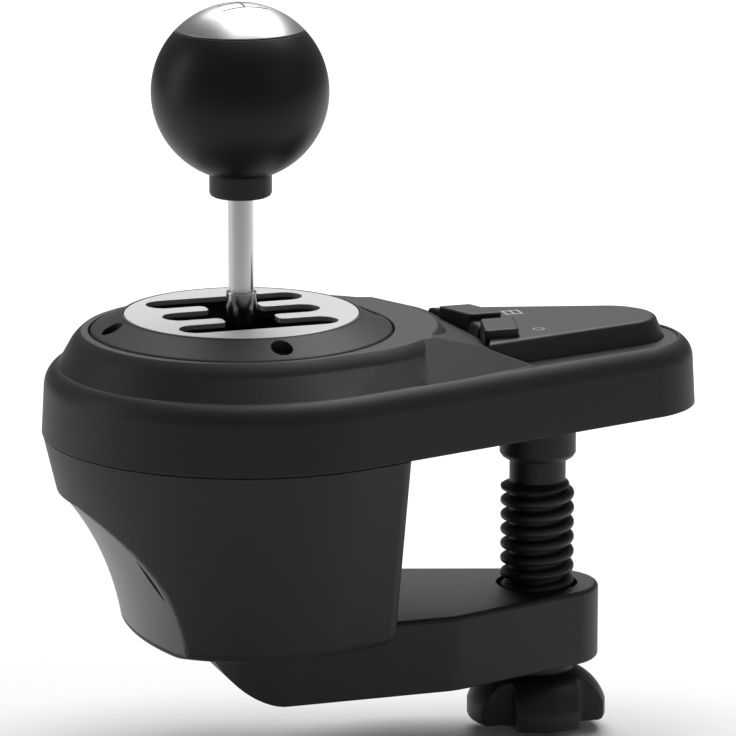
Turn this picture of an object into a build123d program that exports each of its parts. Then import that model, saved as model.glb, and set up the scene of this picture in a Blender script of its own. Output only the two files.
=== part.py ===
from build123d import *
import os
from math import acos, atan, cos, degrees, pi, radians, sin, sqrt

# A desk gear shifter: a round gate body with a lever, an arm with two buttons, and a screw clamp.
# The origin is the clamp screw's axis at the desk face under the arm. X runs along the arm to its
# tip, Z is up, and Y is across. All lengths are in millimetres.

os.makedirs("parts", exist_ok=True)

# Layout
lever_to_screw = 93.0        # lever axis to clamp screw axis
gate_height = 35.0           # top of the gate plate above the desk face
lever_x = -lever_to_screw
overrun = 2.0                # how far a cutting tool runs past the face it cuts
seam = 0.3                   # open line between two casing parts
snug = 0.05                  # radial clearance of a running fit
slack = 0.15                 # clearance of a piece that drops into its pocket

# Casing in plan: a big round body and a small round arm tip joined by their common tangents
body_offset = 2.0            # centre of the round body behind the lever axis
body_radius = 60.9
tip_radius = 28.0
tip_reach = 20.5             # centre of the round arm tip past the clamp screw
body_x = lever_x + body_offset
tip_x = tip_reach

# Upper casing, heights above the desk face
casing_wall = 2.4
wall_top = 14.2
wall_draft = 0.8
shoulder_top = 17.6
shoulder_inset = 1.9
band_top = 20.2
band_inset = 4.8
ledge_inset = 5.5
ledge_height = 19.6
dome_top = 30.2
island_front = 1.0           # centre of the island's round front ahead of the lever axis
island_shift = 16.3          # how far the raised island runs back from the lever axis
island_foot_radius = 56.2    # at the ledge, round the middle of the body
island_taper = 4.0           # how much the island's round back is smaller than its front
island_waist_radius = 49.6
island_waist_drop = 3.8      # under the island's top
island_shoulder_radius = 47.8
island_shoulder_drop = 1.4
dome_radius = 46.2
ramp_run_1 = 14.5
ramp_drop_1 = 4.0
ramp_run_2 = 15.7
ramp_start = 50.0            # from the lever axis
ramp_foot_half_width = 29.8
ramp_mid_half_width = 43.5
ramp_mid_x = 48.0
ramp_front_x = 30.0
ramp_front_half_width = 48.8
ramp_side_inset = 13.8

# Gate ring and gate plate
ring_radius = 44.5
ring_gap = 0.5               # open line between the ring and the casing
ring_top_radius = 35.2
ring_edge_height = 30.4
ring_bottom = 26.5
ring_inner_radius = 31.0
ring_wall = 2.2
seat_inner_radius = 33.4
seat_thickness = 2.5
plate_radius = 34.7
plate_thickness = 1.5
plate_edge = 0.35
gate_screw_circle = 39.4
gate_screw_recess_radius = 3.15
gate_screw_head_radius = 2.75
gate_screw_head_height = 1.8
gate_screw_radius = 1.4
gate_screw_length = 9.0
gate_screw_seat = 29.0
gate_boss_radius = 3.6
gate_boss_depth = 6.0
lane_pitch = 17.4
slot_width = 10.8
slot_half_length = 23.95
channel_width = 16.0
finger_round = 2.0

# Lower casing
bucket_depth = 59.3
bucket_inset = 14.0          # how much the wall has closed in at the bottom
bucket_back = 57.2           # from the screw axis to the upright back wall
bucket_wall = 2.4
bucket_back_round = 4.0
bucket_foot_round = 3.5
lip_height = 3.0
lip_wall = 1.6
lip_gap = 0.3
cove_top_share = 0.28        # depth of the cove's upper edge, of the bucket's depth
cove_lip_run = 4.9           # back from the round body's front, along the middle
cove_mid_run = 16.3
cove_mid_share = 0.5666
cove_end_run = 25.3
cove_axis_run = 128.0        # back to the upright axis that the cove is turned round
trim_thickness = 1.3
trim_rim = 1.0
slit_top_width_share = 0.476   # half width, of the body's radius
slit_foot_width_share = 0.553
slit_top_share = 0.489       # depth, of the bucket's depth
slit_foot_share = 0.70
slit_bulge = 0.9
slit_width = 2.3

# Underside cover of the arm, with its rubber desk pad
cover_thickness = 2.4
pad_sheet = 1.2
pad_front_gap = 5.0
pad_back_gap = 2.0           # before the clamp's pad
pad_inset = 9.0
base_screw_radius = 1.5
base_screw_head_radius = 2.8
base_screw_head_height = 1.6
base_screw_length = 11.0
base_boss_radius = 3.4
base_screw_inset = 11.5

# Button panel
panel_tip_radius = 13.2
panel_tip_x = 23.2
panel_tip_lean = 1.5         # how much further the tip's foot stands out than its top
panel_slope = 0.27
panel_front_x = 72.9         # from the lever axis
panel_front_bow = 5.2
panel_height = 26.3
panel_foot_height = 19.2
panel_foot_spread = 1.6
panel_wall = 2.0
panel_screw_pitch = 9.0

# Buttons, corners from the lever axis
button_play = 0.25
button_flange = 1.0
button_flange_thickness = 1.1
button_stem_radius = 2.2
button_travel = 1.2
button_round = 0.9
button_front_x = 70.2
button_inner_y = 4.4
button_skew = 2.6
range_length = 10.2
range_bow = 2.6
range_outer_y = 18.6
range_top = 28.4
mode_length = 10.6
mode_bow = 1.6
mode_outer_y = 20.4
mode_top = 28.9

# Boards and switches
board_thickness = 1.6
main_board_length = 40.0
main_board_width = 34.0
main_board_x = -34.0
main_board_lift = 2.2
button_board_length = 25.0
button_board_width = 33.0
button_board_height = 11.2
switch_size = 6.0
switch_height = 3.2
switch_plunger_radius = 1.6
switch_plunger_rise = 0.5
board_screw_radius = 1.1
board_screw_head_radius = 2.0
board_screw_head_height = 1.3
board_post_radius = 2.6
ribbon_width = 10.0
ribbon_thickness = 0.5
socket_width = 9.0
socket_height = 3.3
socket_length = 7.4
socket_wall = 0.35
socket_tongue = 0.7
socket_x = -30.0
socket_z = 9.0

# Lever and knob
ball_radius = 26.0
ball_height = 65.7           # ball centre above the gate plate
cap_rise_share = 0.6885      # height of the cap's edge above the ball's centre, of the ball's radius
cap_gap = 0.35
cap_depth = 3.0
cap_spigot_radius = 12.0
cap_spigot_length = 4.0
collar_radius = 9.2
collar_round = 1.2
collar_bite = 1.1            # how far the collar is let into the ball
collar_length = 7.7
rod_radius = 3.85
reverse_spring_room = 16.0
rod_thread_radius = 3.0
insert_radius = 5.0
insert_length = 16.0
sleeve_radius = 4.535
sleeve_top = 6.4
spring_wire = 0.7

# Pivot block, axle, yoke and frame, about the pivot
block_length = 12.0
block_width = 16.0
block_height = 20.0
axle_radius = 2.5
axle_half_length = 17.0
yoke_length = 30.0
yoke_width = 34.0
yoke_wall = 5.5
yoke_height = 10.0
yoke_gap = 0.4
side_pin_radius = 2.5
side_pin_seat = 4.5
bush_radius = 4.0
bush_flange_radius = 5.2
bush_flange = 0.8
post_gap = 4.6
post_thickness = 4.0
post_width = 18.0
post_rise = 8.0
frame_plate = 3.0
frame_half_width = 24.0
frame_lift = 3.0
magnet_radius = 3.0
magnet_thickness = 2.0
magnet_gap = 1.2
sensor_board_size = 14.0
sensor_board_thickness = 1.2
sensor_post_radius = 1.4
detent_reach = 16.5
detent_pin_radius = 2.2
detent_tube_radius = 3.4
detent_tube_length = 3.6
detent_gap = 0.35
detent_cam_half = 8.5
detent_cam_floor = 3.05      # thickness under the dish
detent_cam_rise = 7.0
torsion_wire = 1.0
torsion_radius = 4.6
torsion_turns = 2

# Clamp
jaw_step = 4.3               # how far the lower arm's top stands above the bucket's underside
jaw_thickness = 22.9
jaw_half_width = 29.3
jaw_tip_radius = 15.6
jaw_tip_x = 3.3
jaw_knee = 36.0              # from the screw axis back to where the sides turn parallel
jaw_front = 109.0            # from the screw axis to the front end, at the bucket's floor
jaw_front_round = 22.0
jaw_toe_mid_x = 103.5
jaw_toe_mid_drop = 11.2      # under the bucket's underside
jaw_toe_x = 88.0
jaw_edge = 1.6
jaw_hole_radius = 12.3
jaw_hole_depth = 5.0
nut_radius = 13.0
thread_radius = 11.2
core_radius = 8.5
thread_pitch = 4.5
ridge_radius = 1.55
thread_top = 23.0            # depth of the first ridge under the desk face
nut_clearance = 0.25
pad_radius = 11.5
pad_depth = 16.0
pad_chamfer = 1.5
pad_rubber = 1.5
pad_rest_gap = 0.3
pad_bore_depth = 10.0
clip_thickness = 1.2
clip_height = 6.4            # above the pad's lower face
clip_bite = 1.0
clamp_knob_radius = 21.0
clamp_knob_lobe_width = 19.4
clamp_knob_valley_round = 3.0
clamp_knob_lobe_round = 5.0
clamp_knob_turn = -7.5       # degrees
clamp_knob_skirt = 5.4       # upright part under the dome
clamp_knob_neck_radius = 11.0
clamp_knob_neck = 3.2
clamp_knob_dome = 10.0
clamp_knob_shoulder = 6.2    # how far the dome's bulge stands out from its cone
clamp_knob_edge = 1.2
clamp_knob_bore_depth = 13.0
jaw_bolt_radius = 2.5
jaw_bolt_head_radius = 4.4
jaw_bolt_head_height = 3.0
jaw_bolt_x = 78.0
jaw_bolt_spacing_x = 20.0
jaw_bolt_spacing_y = 36.0
jaw_boss_radius = 4.6

# Casing screws that pull the bucket up to the upper casing
casing_screw_radius = 1.5
casing_screw_head_radius = 2.7
casing_screw_head_height = 1.8
casing_screw_length = 12.0
casing_boss_radius = 3.9
casing_boss_bite = 0.9       # how far an ear reaches into the bucket's lip
casing_screw_turns = (70.0, 120.0, 180.0, 240.0, 290.0)   # degrees round the lever axis

root_half = sqrt(1 / 2)


def place(node, solid):
    """Write one node as one file, whatever number of separate solids it holds."""
    export_step(solid if isinstance(solid, Compound) else Compound([solid]), f"parts/{node}.step")


def rod(radius, low, high, x=0, y=0):
    """An upright cylinder between two heights."""
    return Pos(x, y, (low + high) / 2) * Cylinder(radius, high - low)


def rod_along_x(radius, low, high, y=0, z=0):
    return Pos((low + high) / 2, y, z) * Rot(0, 90, 0) * Cylinder(radius, high - low)


def rod_along_y(radius, low, high, x=0, z=0):
    return Pos(x, (low + high) / 2, z) * Rot(90, 0, 0) * Cylinder(radius, high - low)


def block(x, y, z):
    """A box from its lowest and highest values along each axis."""
    middle = Pos((x[0] + x[1]) / 2, (y[0] + y[1]) / 2, (z[0] + z[1]) / 2)
    return middle * Box(x[1] - x[0], y[1] - y[0], z[1] - z[0])


def hull_face(x1, r1, x2, r2):
    """Two circles on the X axis and the tangents that join them."""
    lean = (r1 - r2) / (x2 - x1)
    rise = sqrt(1 - lean * lean)
    a, b = (x1 + r1 * lean, r1 * rise), (x2 + r2 * lean, r2 * rise)
    c, d = (b[0], -b[1]), (a[0], -a[1])
    edges = [Line(a, b), ThreePointArc(b, (x2 + r2, 0), c), Line(c, d), ThreePointArc(d, (x1 - r1, 0), a)]
    return make_face(edges)


def plan(inset):
    """The casing's outline, closed in by an inset all round."""
    return hull_face(body_x, body_radius - inset, tip_x, tip_radius - inset)


def stack(sections):
    """A solid with straight walls through faces at rising heights."""
    return loft([Pos(0, 0, height) * face for face, height in sections], ruled=True)


def side_profile(edges, half_width):
    """A profile drawn in X and Z, made as wide as the object in Y."""
    face = make_face(edges)
    return extrude(Plane.XZ * face, amount=half_width, both=True)


def island_form(skin):
    """The raised island: a round front, a convex side and a flat top that runs back to the ramp."""
    thin = skin * (sqrt(2) - 1)
    front, back = lever_x - island_front, lever_x + island_shift
    foot = island_foot_radius - thin
    sections = [(hull_face(body_x, foot, back, foot - island_taper), ledge_height - skin)]
    steps = ((island_waist_radius, island_waist_drop), (island_shoulder_radius, island_shoulder_drop),
             (dome_radius, 0))
    for radius, drop in steps:
        outline = hull_face(front, radius - thin, back, radius - thin - island_taper)
        sections.append((outline, dome_top - drop - skin))
    return stack(sections)


def upper_form(skin):
    """The upper casing as a full body, its skin closed in all round. The ledge is cut outside only."""
    thin = skin * (sqrt(2) - 1)
    low = -overrun if skin else 0
    walls = stack([
        (plan(skin - (wall_draft / wall_top) * overrun if skin else 0), low),
        (plan(wall_draft + skin), wall_top - thin),
        (plan(shoulder_inset + skin), shoulder_top - skin),
        (plan(band_inset + skin), band_top - skin),
    ])
    if not skin:
        walls -= Pos(0, 0, ledge_height) * extrude(plan(ledge_inset), amount=overrun)
    return walls + island_form(skin) + ramp_form(skin)


def ramp_form(skin):
    """The slope from the island down to the arm, with leaning sides."""
    def ring(inset):
        a = (lever_x + ramp_front_x, ramp_front_half_width - inset)
        b = (lever_x + ramp_mid_x, ramp_mid_half_width - inset)
        c = (lever_x + ramp_start + ramp_run_1 + ramp_run_2, ramp_foot_half_width - inset)
        points = [a, b, c] + [(x, -y) for x, y in (c, b, a)]
        return make_face(Polyline(points, close=True))
    body = stack([(ring(skin), ledge_height - skin), (ring(ramp_side_inset + skin), dome_top - skin)])
    foot_x = lever_x + ramp_start
    start, knee = (foot_x, dome_top - skin), (foot_x + ramp_run_1, dome_top - ramp_drop_1 - skin)
    end = (knee[0] + ramp_run_2, ledge_height - skin)
    above = (end[0] + overrun, end[1])
    corner, back = (above[0], dome_top + overrun), (foot_x, dome_top + overrun)
    cut = side_profile(Polyline(start, knee, end, above, corner, back, start), body_radius)
    return body - cut


def panel_face(spread):
    """The button panel's outline: a bowed front, two leaning sides and a round tip."""
    r = panel_tip_radius + spread
    middle = panel_tip_x + panel_tip_lean * spread / panel_foot_spread
    lean = sin(atan(panel_slope))
    rise = cos(atan(panel_slope))
    tip = (middle + r * lean, r * rise)
    front_x = lever_x + panel_front_x - spread
    corner_x = front_x - panel_front_bow
    corner = (corner_x, tip[1] + (tip[0] - corner_x) * panel_slope)
    low_tip, low_corner = (tip[0], -tip[1]), (corner[0], -corner[1])
    return make_face([
        Line(corner, tip), ThreePointArc(tip, (middle + r, 0), low_tip),
        Line(low_tip, low_corner), ThreePointArc(low_corner, (front_x, 0), corner),
    ])


def button_size(side):
    """Length along the arm, bow of the front edge and outer side of one button."""
    if side > 0:
        return range_length, range_bow, range_outer_y
    return mode_length, mode_bow, mode_outer_y


def button_face(side, spread):
    """A button's outline, with its front edge along the panel's bowed edge."""
    front = lever_x + button_front_x
    length, bow, outer = button_size(side)
    near, far = button_inner_y * side, outer * side
    points = [
        (front + button_skew, near), (front + button_skew + length, near),
        (front - bow + length, far), (front - bow, far),
    ]
    face = make_face(Polyline(points, close=True))
    return offset(face, amount=spread) if spread else face


def flange_face(side, spread):
    """The outline of a button's retaining flange, flush with the button's front."""
    return Pos(button_flange) * button_face(side, button_flange + spread)


def button_centre(side):
    length, bow, outer = button_size(side)
    x = lever_x + button_front_x + (button_skew - bow + length) / 2
    return x, side * (button_inner_y + outer) / 2


def coil(radius, pitch, turns, wire, bottom, x=0, y=0):
    """A round wire wound up a right-handed helix, as tangent arcs of a quarter turn."""
    steps = turns * 4
    points = []
    for step in range(steps + 1):
        angle = step * pi / 2
        points.append(Vector(x + radius * cos(angle), y + radius * sin(angle), bottom + pitch * step / 4))
    heading = Vector(0, 2 * pi * radius, pitch)
    section = Plane(origin=points[0], z_dir=heading) * Circle(wire / 2)
    arcs = []
    for step in range(steps):
        arc = TangentArc(points[step], points[step + 1], tangent=heading)
        heading = arc % 1
        arcs.append(arc)
    return sweep(section, path=Wire(arcs))


def screw(head_radius, head_height, shank_radius, length, recess_share=0.55):
    """A pan-head screw, head up, with its head's underside at the origin and a cross recess."""
    head = rod(head_radius, 0, head_height)
    head = chamfer(head.edges().filter_by(GeomType.CIRCLE).group_by(Axis.Z)[-1], head_height / 4)
    body = head + rod(shank_radius, -length, 0)
    width = head_radius / 4
    for turn in (0, 90):
        slot = Box(2 * head_radius * recess_share, width, head_height)
        body -= Pos(0, 0, head_height) * Rot(0, 0, turn) * slot
    return body


def ring_of(count, radius, first=0):
    """Points round the lever axis."""
    return [(lever_x + radius * cos(radians(first + 360 * k / count)),
             radius * sin(radians(first + 360 * k / count))) for k in range(count)]


# Places and heights that several pieces share
cap_rise = cap_rise_share * ball_radius
collar_top = ball_height - sqrt(ball_radius ** 2 - collar_radius ** 2) + collar_bite
collar_foot = collar_top - collar_length
bucket_floor = -bucket_depth + bucket_wall
frame_top = bucket_floor + frame_lift + frame_plate
pivot_z = frame_top + detent_cam_floor + detent_gap + detent_reach
sleeve_foot = pivot_z + block_height / 2
rod_foot = sleeve_foot + reverse_spring_room
jaw_gap = bucket_depth - jaw_step
jaw_top = -jaw_gap
jaw_foot = jaw_top - jaw_thickness
jaw_bolt_top = bucket_floor + frame_lift - slack
jaw_bolt_seat = jaw_foot + jaw_bolt_head_height + jaw_edge
gate_screw_places = ring_of(4, gate_screw_circle)
casing_screw_circle = (body_radius - casing_wall - lip_gap - lip_wall - casing_boss_radius
                       + casing_boss_bite)
casing_screw_places = [(body_x + casing_screw_circle * cos(radians(a)),
                        casing_screw_circle * sin(radians(a))) for a in casing_screw_turns]
panel_window_inset = panel_wall + button_flange
slope_lean = (body_radius - tip_radius) / (tip_x - body_x)
side_angle = degrees(atan(slope_lean / sqrt(1 - slope_lean ** 2)))


def side_half_width(x, inset):
    """Half the casing's width at a place along the arm's straight sides."""
    rise = sqrt(1 - slope_lean ** 2)
    return (body_radius - inset - slope_lean * (x - body_x)) / rise


base_screw_places = [(x, side * side_half_width(x, base_screw_inset))
                     for x in (-bucket_back + base_screw_inset, tip_x - base_screw_inset / 2)
                     for side in (1, -1)]
main_board_places = [(main_board_x + sx * (main_board_length / 2 - board_post_radius),
                      sy * (main_board_width / 2 - board_post_radius))
                     for sx in (1, -1) for sy in (1, -1)]
button_back = lever_x + button_front_x + button_skew + max(range_length, mode_length) + 2 * button_flange
button_post_x = button_back + board_post_radius + seam
panel_window_end = button_post_x + board_post_radius + seam
button_board_x = panel_window_end - button_board_length / 2
button_board_places = [(button_post_x, side * (button_board_width / 2 - board_post_radius))
                       for side in (1, -1)]
panel_screw_places = [(panel_window_end + panel_screw_pitch * step, 0) for step in (1, 2)]
jaw_bolt_places = [(-jaw_bolt_x + sx * jaw_bolt_spacing_x / 2, sy * jaw_bolt_spacing_y / 2)
                   for sx in (1, -1) for sy in (1, -1)]


# Upper casing

def upper_shell():
    """The one-piece top: round body, island, ramp and arm, open underneath."""
    shell = upper_form(0) - upper_form(casing_wall)
    room = upper_form(casing_wall / 2)
    seat_low = ring_bottom - seat_thickness
    shell += rod(island_waist_radius, seat_low, ring_bottom, x=lever_x) & room
    for x, y in gate_screw_places:
        shell += rod(gate_boss_radius, ring_bottom - gate_boss_depth, ring_bottom, x, y)
    shell -= rod(ring_radius + ring_gap, ring_bottom, dome_top + overrun, x=lever_x)
    shell -= rod(seat_inner_radius, seat_low - overrun, ring_bottom + overrun, x=lever_x)
    for x, y in gate_screw_places:
        shell -= rod(gate_screw_radius, ring_bottom - gate_boss_depth - overrun, ring_bottom + overrun, x, y)
    shell -= rod(seat_inner_radius, ring_bottom - gate_boss_depth - overrun, seat_low, x=lever_x)
    roof = band_top - casing_wall
    keep = Pos(panel_window_end - body_radius) * Rectangle(2 * body_radius, 2 * body_radius)
    window = panel_face(-panel_window_inset) & keep
    for side in (1, -1):
        window += flange_face(side, button_play) + button_face(side, button_play + seam)
    shell -= Pos(0, 0, roof - overrun) * extrude(window, amount=ledge_height)
    for x, y in casing_screw_places:
        shell += rod(casing_boss_radius, lip_height, dome_top, x, y) & room
        shell -= rod(casing_screw_radius, lip_height - overrun, casing_screw_length, x, y)
    for x, y in base_screw_places:
        shell += rod(base_boss_radius, cover_thickness, dome_top, x, y) & room
        shell -= rod(base_screw_radius, cover_thickness - overrun, base_screw_length + cover_thickness, x, y)
    for x, y in panel_screw_places:
        shell -= rod(board_screw_radius + slack, roof - overrun, dome_top, x, y)
    wall_y = side_half_width(socket_x, 0)
    port = Box(socket_width + 2 * socket_wall + 2 * slack, 4 * casing_wall, socket_height + 2 * slack
               + 2 * socket_wall)
    port = Pos(socket_x, wall_y, socket_z) * Rot(0, 0, -side_angle) * port
    return shell - port


def gate_ring():
    """The sloped ring round the gate, with four recessed screws."""
    top = gate_height
    outline = Polyline(
        (ring_inner_radius, ring_bottom), (ring_radius, ring_bottom), (ring_radius, ring_edge_height),
        (ring_top_radius + plate_edge, top - plate_edge / 2), (ring_top_radius, top),
        (plate_radius + slack, top), (plate_radius + slack, top - plate_thickness),
        (ring_inner_radius, top - plate_thickness), (ring_inner_radius, ring_bottom),
    )
    ring = revolve(Plane.XZ * make_face(outline), axis=Axis.Z)
    inner = plate_radius + slack
    outer = ring_radius - ring_wall
    roof_inner = top - plate_thickness - ring_wall
    roof_outer = ring_edge_height - ring_wall / 2
    channel = Polyline((inner, ring_bottom - overrun), (outer, ring_bottom - overrun), (outer, roof_outer),
                       (inner, roof_inner), (inner, ring_bottom - overrun))
    channel = revolve(Plane.XZ * make_face(channel), axis=Axis.Z)
    ring, channel = Pos(lever_x, 0, 0) * ring, Pos(lever_x, 0, 0) * channel
    for x, y in gate_screw_places:
        channel -= rod(gate_screw_recess_radius + ring_wall / 2, ring_bottom - 2 * overrun, top, x, y)
    ring -= channel
    for x, y in gate_screw_places:
        ring -= rod(gate_screw_recess_radius, gate_screw_seat, top + overrun, x, y)
        ring -= rod(gate_screw_radius + slack, ring_bottom - overrun, top, x, y)
    return ring


def gate_plate():
    """The metal plate with three lanes joined by a neutral channel."""
    low, high = gate_height - plate_thickness, gate_height
    plate = rod(plate_radius, low, high)
    plate = chamfer(plate.edges().group_by(Axis.Z)[-1], plate_edge)
    slots = Sketch()
    for lane in (-1, 0, 1):
        slots += Pos(0, lane * lane_pitch) * SlotOverall(2 * slot_half_length, slot_width)
    slots += Rectangle(channel_width, 2 * lane_pitch)
    inner = [v for v in slots.vertices()
             if abs(abs(v.X) - channel_width / 2) < plate_edge and abs(v.Y) < lane_pitch]
    slots = fillet(inner, finger_round)
    cut = extrude(slots, amount=plate_thickness + 2 * overrun)
    plate -= Pos(0, 0, low - overrun) * cut
    return Pos(lever_x, 0, 0) * plate


# Lower casing

def bucket_form(skin):
    """The bucket as a full body: round, tapering, with an upright back wall."""
    low = -bucket_depth + skin
    high = -seam + (seam + overrun if skin else 0)
    taper = bucket_inset / bucket_depth
    def cut_at(height):
        return plan(slack + skin - taper * height)
    form = stack([(cut_at(low), low), (cut_at(high), high)])
    back = -bucket_back - skin
    form -= block((back, tip_x + body_radius), (-2 * body_radius, 2 * body_radius),
                  (low - overrun, high + overrun))
    if not skin:
        corners = [e for e in form.edges() if abs((e @ 0).X - back) < snug and abs((e @ 1).X - back) < snug
                   and abs((e @ 0).Z - (e @ 1).Z) > bucket_depth / 2]
        form = fillet(corners, bucket_back_round)
        form = fillet(form.faces().sort_by(Axis.Z)[0].edges(), bucket_foot_round)
    return form


def cove_tool(shift):
    """What the cove takes off the bucket's front: all that is ahead of a bowed profile, turned."""
    rise = shift * 3 / 4
    edge = body_x - body_radius + shift
    lip = (edge + cove_lip_run, -cove_top_share * bucket_depth + rise)
    middle = (edge + cove_mid_run, -cove_mid_share * bucket_depth + rise)
    end = (edge + cove_end_run, -bucket_depth - overrun + rise)
    front = lever_x - 2 * body_radius
    edges = [Line((front, lip[1]), lip), ThreePointArc(lip, middle, end),
             Line(end, (end[0], end[1] - 2 * overrun)),
             Line((end[0], end[1] - 2 * overrun), (front, end[1] - 2 * overrun)),
             Line((front, end[1] - 2 * overrun), (front, lip[1]))]
    axis_x = edge + cove_axis_run
    turned = revolve(Plane.XZ * make_face(edges), axis=Axis((axis_x, 0, 0), (0, 0, 1)))
    reach = 2 * body_radius
    return turned & block((front, lever_x), (-reach, reach), (-2 * bucket_depth, 0))


def trim_form(shrink):
    """The space of the cove's trim panel, closed in by a shrink."""
    band = cove_tool(trim_thickness) - cove_tool(0)
    return band & bucket_form(trim_rim + shrink)


def lower_bucket():
    """The bucket under the round body, with a lip that fits inside the upper casing."""
    bucket = bucket_form(0) - cove_tool(0)
    bucket -= trim_form(0)
    bucket -= bucket_form(bucket_wall) - cove_tool(trim_thickness + bucket_wall)
    lip_inset = casing_wall + lip_gap
    lip = extrude(plan(lip_inset), amount=lip_height + 2 * bucket_wall)
    lip -= extrude(plan(lip_inset + lip_wall), amount=lip_height + 2 * bucket_wall)
    lip = Pos(0, 0, -2 * bucket_wall) * lip
    lip -= block((-bucket_back, tip_x + tip_radius), (-body_radius, body_radius),
                 (-bucket_depth, bucket_depth))
    bucket += lip
    floor = bucket_floor
    for x, y in jaw_bolt_places:
        bucket += rod(jaw_boss_radius, floor - bucket_wall / 2, jaw_bolt_top, x, y)
        bucket -= rod(jaw_bolt_radius, -bucket_depth - overrun, jaw_bolt_top + overrun, x, y)
    for x, y in frame_screw_places:
        bucket += rod(board_post_radius, floor - bucket_wall / 2, floor + frame_lift, x, y)
        bucket -= rod(board_screw_radius, floor, floor + frame_lift + overrun, x, y)
    ear_low = -casing_screw_head_height
    for x, y in casing_screw_places:
        ear = rod(casing_boss_radius, ear_low, lip_height - slack, x, y)
        bucket += ear
        bucket -= rod(casing_screw_radius + slack, ear_low - overrun, lip_height + overrun, x, y)
    return bucket


def front_trim():
    """The lighter panel in the cove, with two narrow curved slits."""
    panel = trim_form(slack)
    top_y, foot_y = slit_top_width_share * body_radius, slit_foot_width_share * body_radius
    top_z, foot_z = -slit_top_share * bucket_depth, -slit_foot_share * bucket_depth
    for side in (1, -1):
        top = (side * top_y, top_z)
        foot = (side * foot_y, foot_z)
        middle_y = (top_y + foot_y) / 2 + slit_bulge
        middle_z = (top_z + foot_z) / 2
        outer = ThreePointArc(top, (side * middle_y, middle_z), foot)
        inner = ThreePointArc(foot, (side * (middle_y - slit_width), middle_z), top)
        slit = extrude(Plane.YZ * make_face([outer, inner]), amount=body_radius, both=True)
        panel -= Pos(lever_x - body_radius, 0, 0) * slit
    return panel


def arm_cover():
    """The flat cover that closes the arm from below and carries the desk pad."""
    cover = extrude(plan(casing_wall + lip_gap), amount=cover_thickness)
    cover -= block((lever_x - body_radius, -bucket_back + seam), (-body_radius, body_radius),
                   (-overrun, cover_thickness + overrun))
    cover -= Pos(0, 0, -overrun) * extrude(pad_outline(slack), amount=pad_sheet + overrun)
    for x, y in main_board_places:
        cover += rod(board_post_radius, cover_thickness / 2, cover_thickness + main_board_lift, x, y)
        cover -= rod(board_screw_radius, cover_thickness, cover_thickness + main_board_lift + overrun, x, y)
    for x, y in base_screw_places:
        cover -= rod(base_screw_head_radius + slack, -overrun, cover_thickness / 2, x, y)
        cover -= rod(base_screw_radius + slack, -overrun, cover_thickness + overrun, x, y)
    return cover


def pad_outline(spread):
    """The desk pad's outline: the arm's own, inside the screws, between the bucket and the clamp's pad."""
    inset = casing_wall + pad_inset + base_screw_inset - spread
    face = hull_face(body_x, body_radius - inset, tip_x, tip_radius - inset)
    ends = (-bucket_back + pad_front_gap - spread, -pad_radius - pad_back_gap + spread)
    return face & (Pos(sum(ends) / 2) * Rectangle(ends[1] - ends[0], 4 * body_radius))


def desk_pad():
    """A rubber sheet set flush in the arm's underside, where the desk is gripped."""
    return extrude(pad_outline(0), amount=pad_sheet)


# Button panel and buttons

def button_panel():
    """The raised panel on the arm, hollow underneath, with two button openings."""
    low, high = panel_foot_height, panel_height
    edge = panel_wall / 4
    panel = stack([(panel_face(panel_foot_spread), low),
                   (panel_face(panel_foot_spread * edge / (high - low)), high - edge),
                   (panel_face(-edge), high)])
    panel -= ramp_form(0)
    floor = Pos(0, 0, ledge_height - overrun) * extrude(plan(ledge_inset / 2), amount=overrun)
    panel -= floor
    inner = stack([(panel_face(panel_foot_spread - panel_wall), low - overrun),
                   (panel_face(-panel_wall), high - panel_wall)])
    panel -= inner
    for side in (1, -1):
        face = button_face(side, button_play)
        opening = extrude(face + Pos(-panel_front_bow) * face, amount=high)
        panel -= Pos(0, 0, low - overrun) * opening
        pocket = extrude(flange_face(side, button_play), amount=high - panel_wall - low + overrun)
        panel -= Pos(0, 0, low - overrun) * pocket
    for x, y in button_board_places:
        panel += rod(board_post_radius, button_board_height + board_thickness, high - panel_wall / 2, x, y)
        panel -= rod(board_screw_radius, button_board_height, low, x, y)
    for x, y in panel_screw_places:
        panel += rod(board_post_radius, ledge_height, high - panel_wall / 2, x, y)
        panel -= rod(board_screw_radius, ledge_height - overrun, high - panel_wall, x, y)
    return panel


def button(side):
    """A push button with a retaining flange under the panel and a stem over its switch."""
    under = panel_height - panel_wall - button_play
    top = range_top if side > 0 else mode_top
    cap = Pos(0, 0, under) * extrude(button_face(side, 0), amount=top - under)
    cap = fillet(cap.edges().filter_by(Axis.Z), button_round)
    cap = chamfer(cap.faces().sort_by(Axis.Z)[-1].edges(), button_round / 3)
    flange = extrude(flange_face(side, 0), amount=button_flange_thickness)
    cap += Pos(0, 0, under - button_flange_thickness) * flange
    x, y = button_centre(side)
    stem_foot = button_board_height + board_thickness + switch_height + switch_plunger_rise + button_travel
    return cap + rod(button_stem_radius, stem_foot, under, x, y)


def switch_plunger(side):
    """The switch's own plunger, which the button's stem presses."""
    x, y = button_centre(side)
    top = button_board_height + board_thickness + switch_height + switch_plunger_rise + button_travel
    return rod(switch_plunger_radius, top - switch_plunger_rise - 2 * button_travel, top, x, y)


def button_switches():
    """Two square push switches on the button board."""
    low = button_board_height + board_thickness
    solids = []
    for side in (1, -1):
        x, y = button_centre(side)
        half = switch_size / 2
        body = block((x - half, x + half), (y - half, y + half), (low, low + switch_height))
        bore = rod(switch_plunger_radius + snug, low + switch_height / 8, low + 2 * switch_height, x, y)
        solids.append(body - bore)
    return Compound(solids)


def board(x, places, length, width, low, hole, thickness=board_thickness):
    sheet = block((x - length / 2, x + length / 2), (-width / 2, width / 2), (low, low + thickness))
    for px, py in places:
        sheet -= rod(hole, low - overrun, low + thickness + overrun, px, py)
    return sheet


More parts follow.
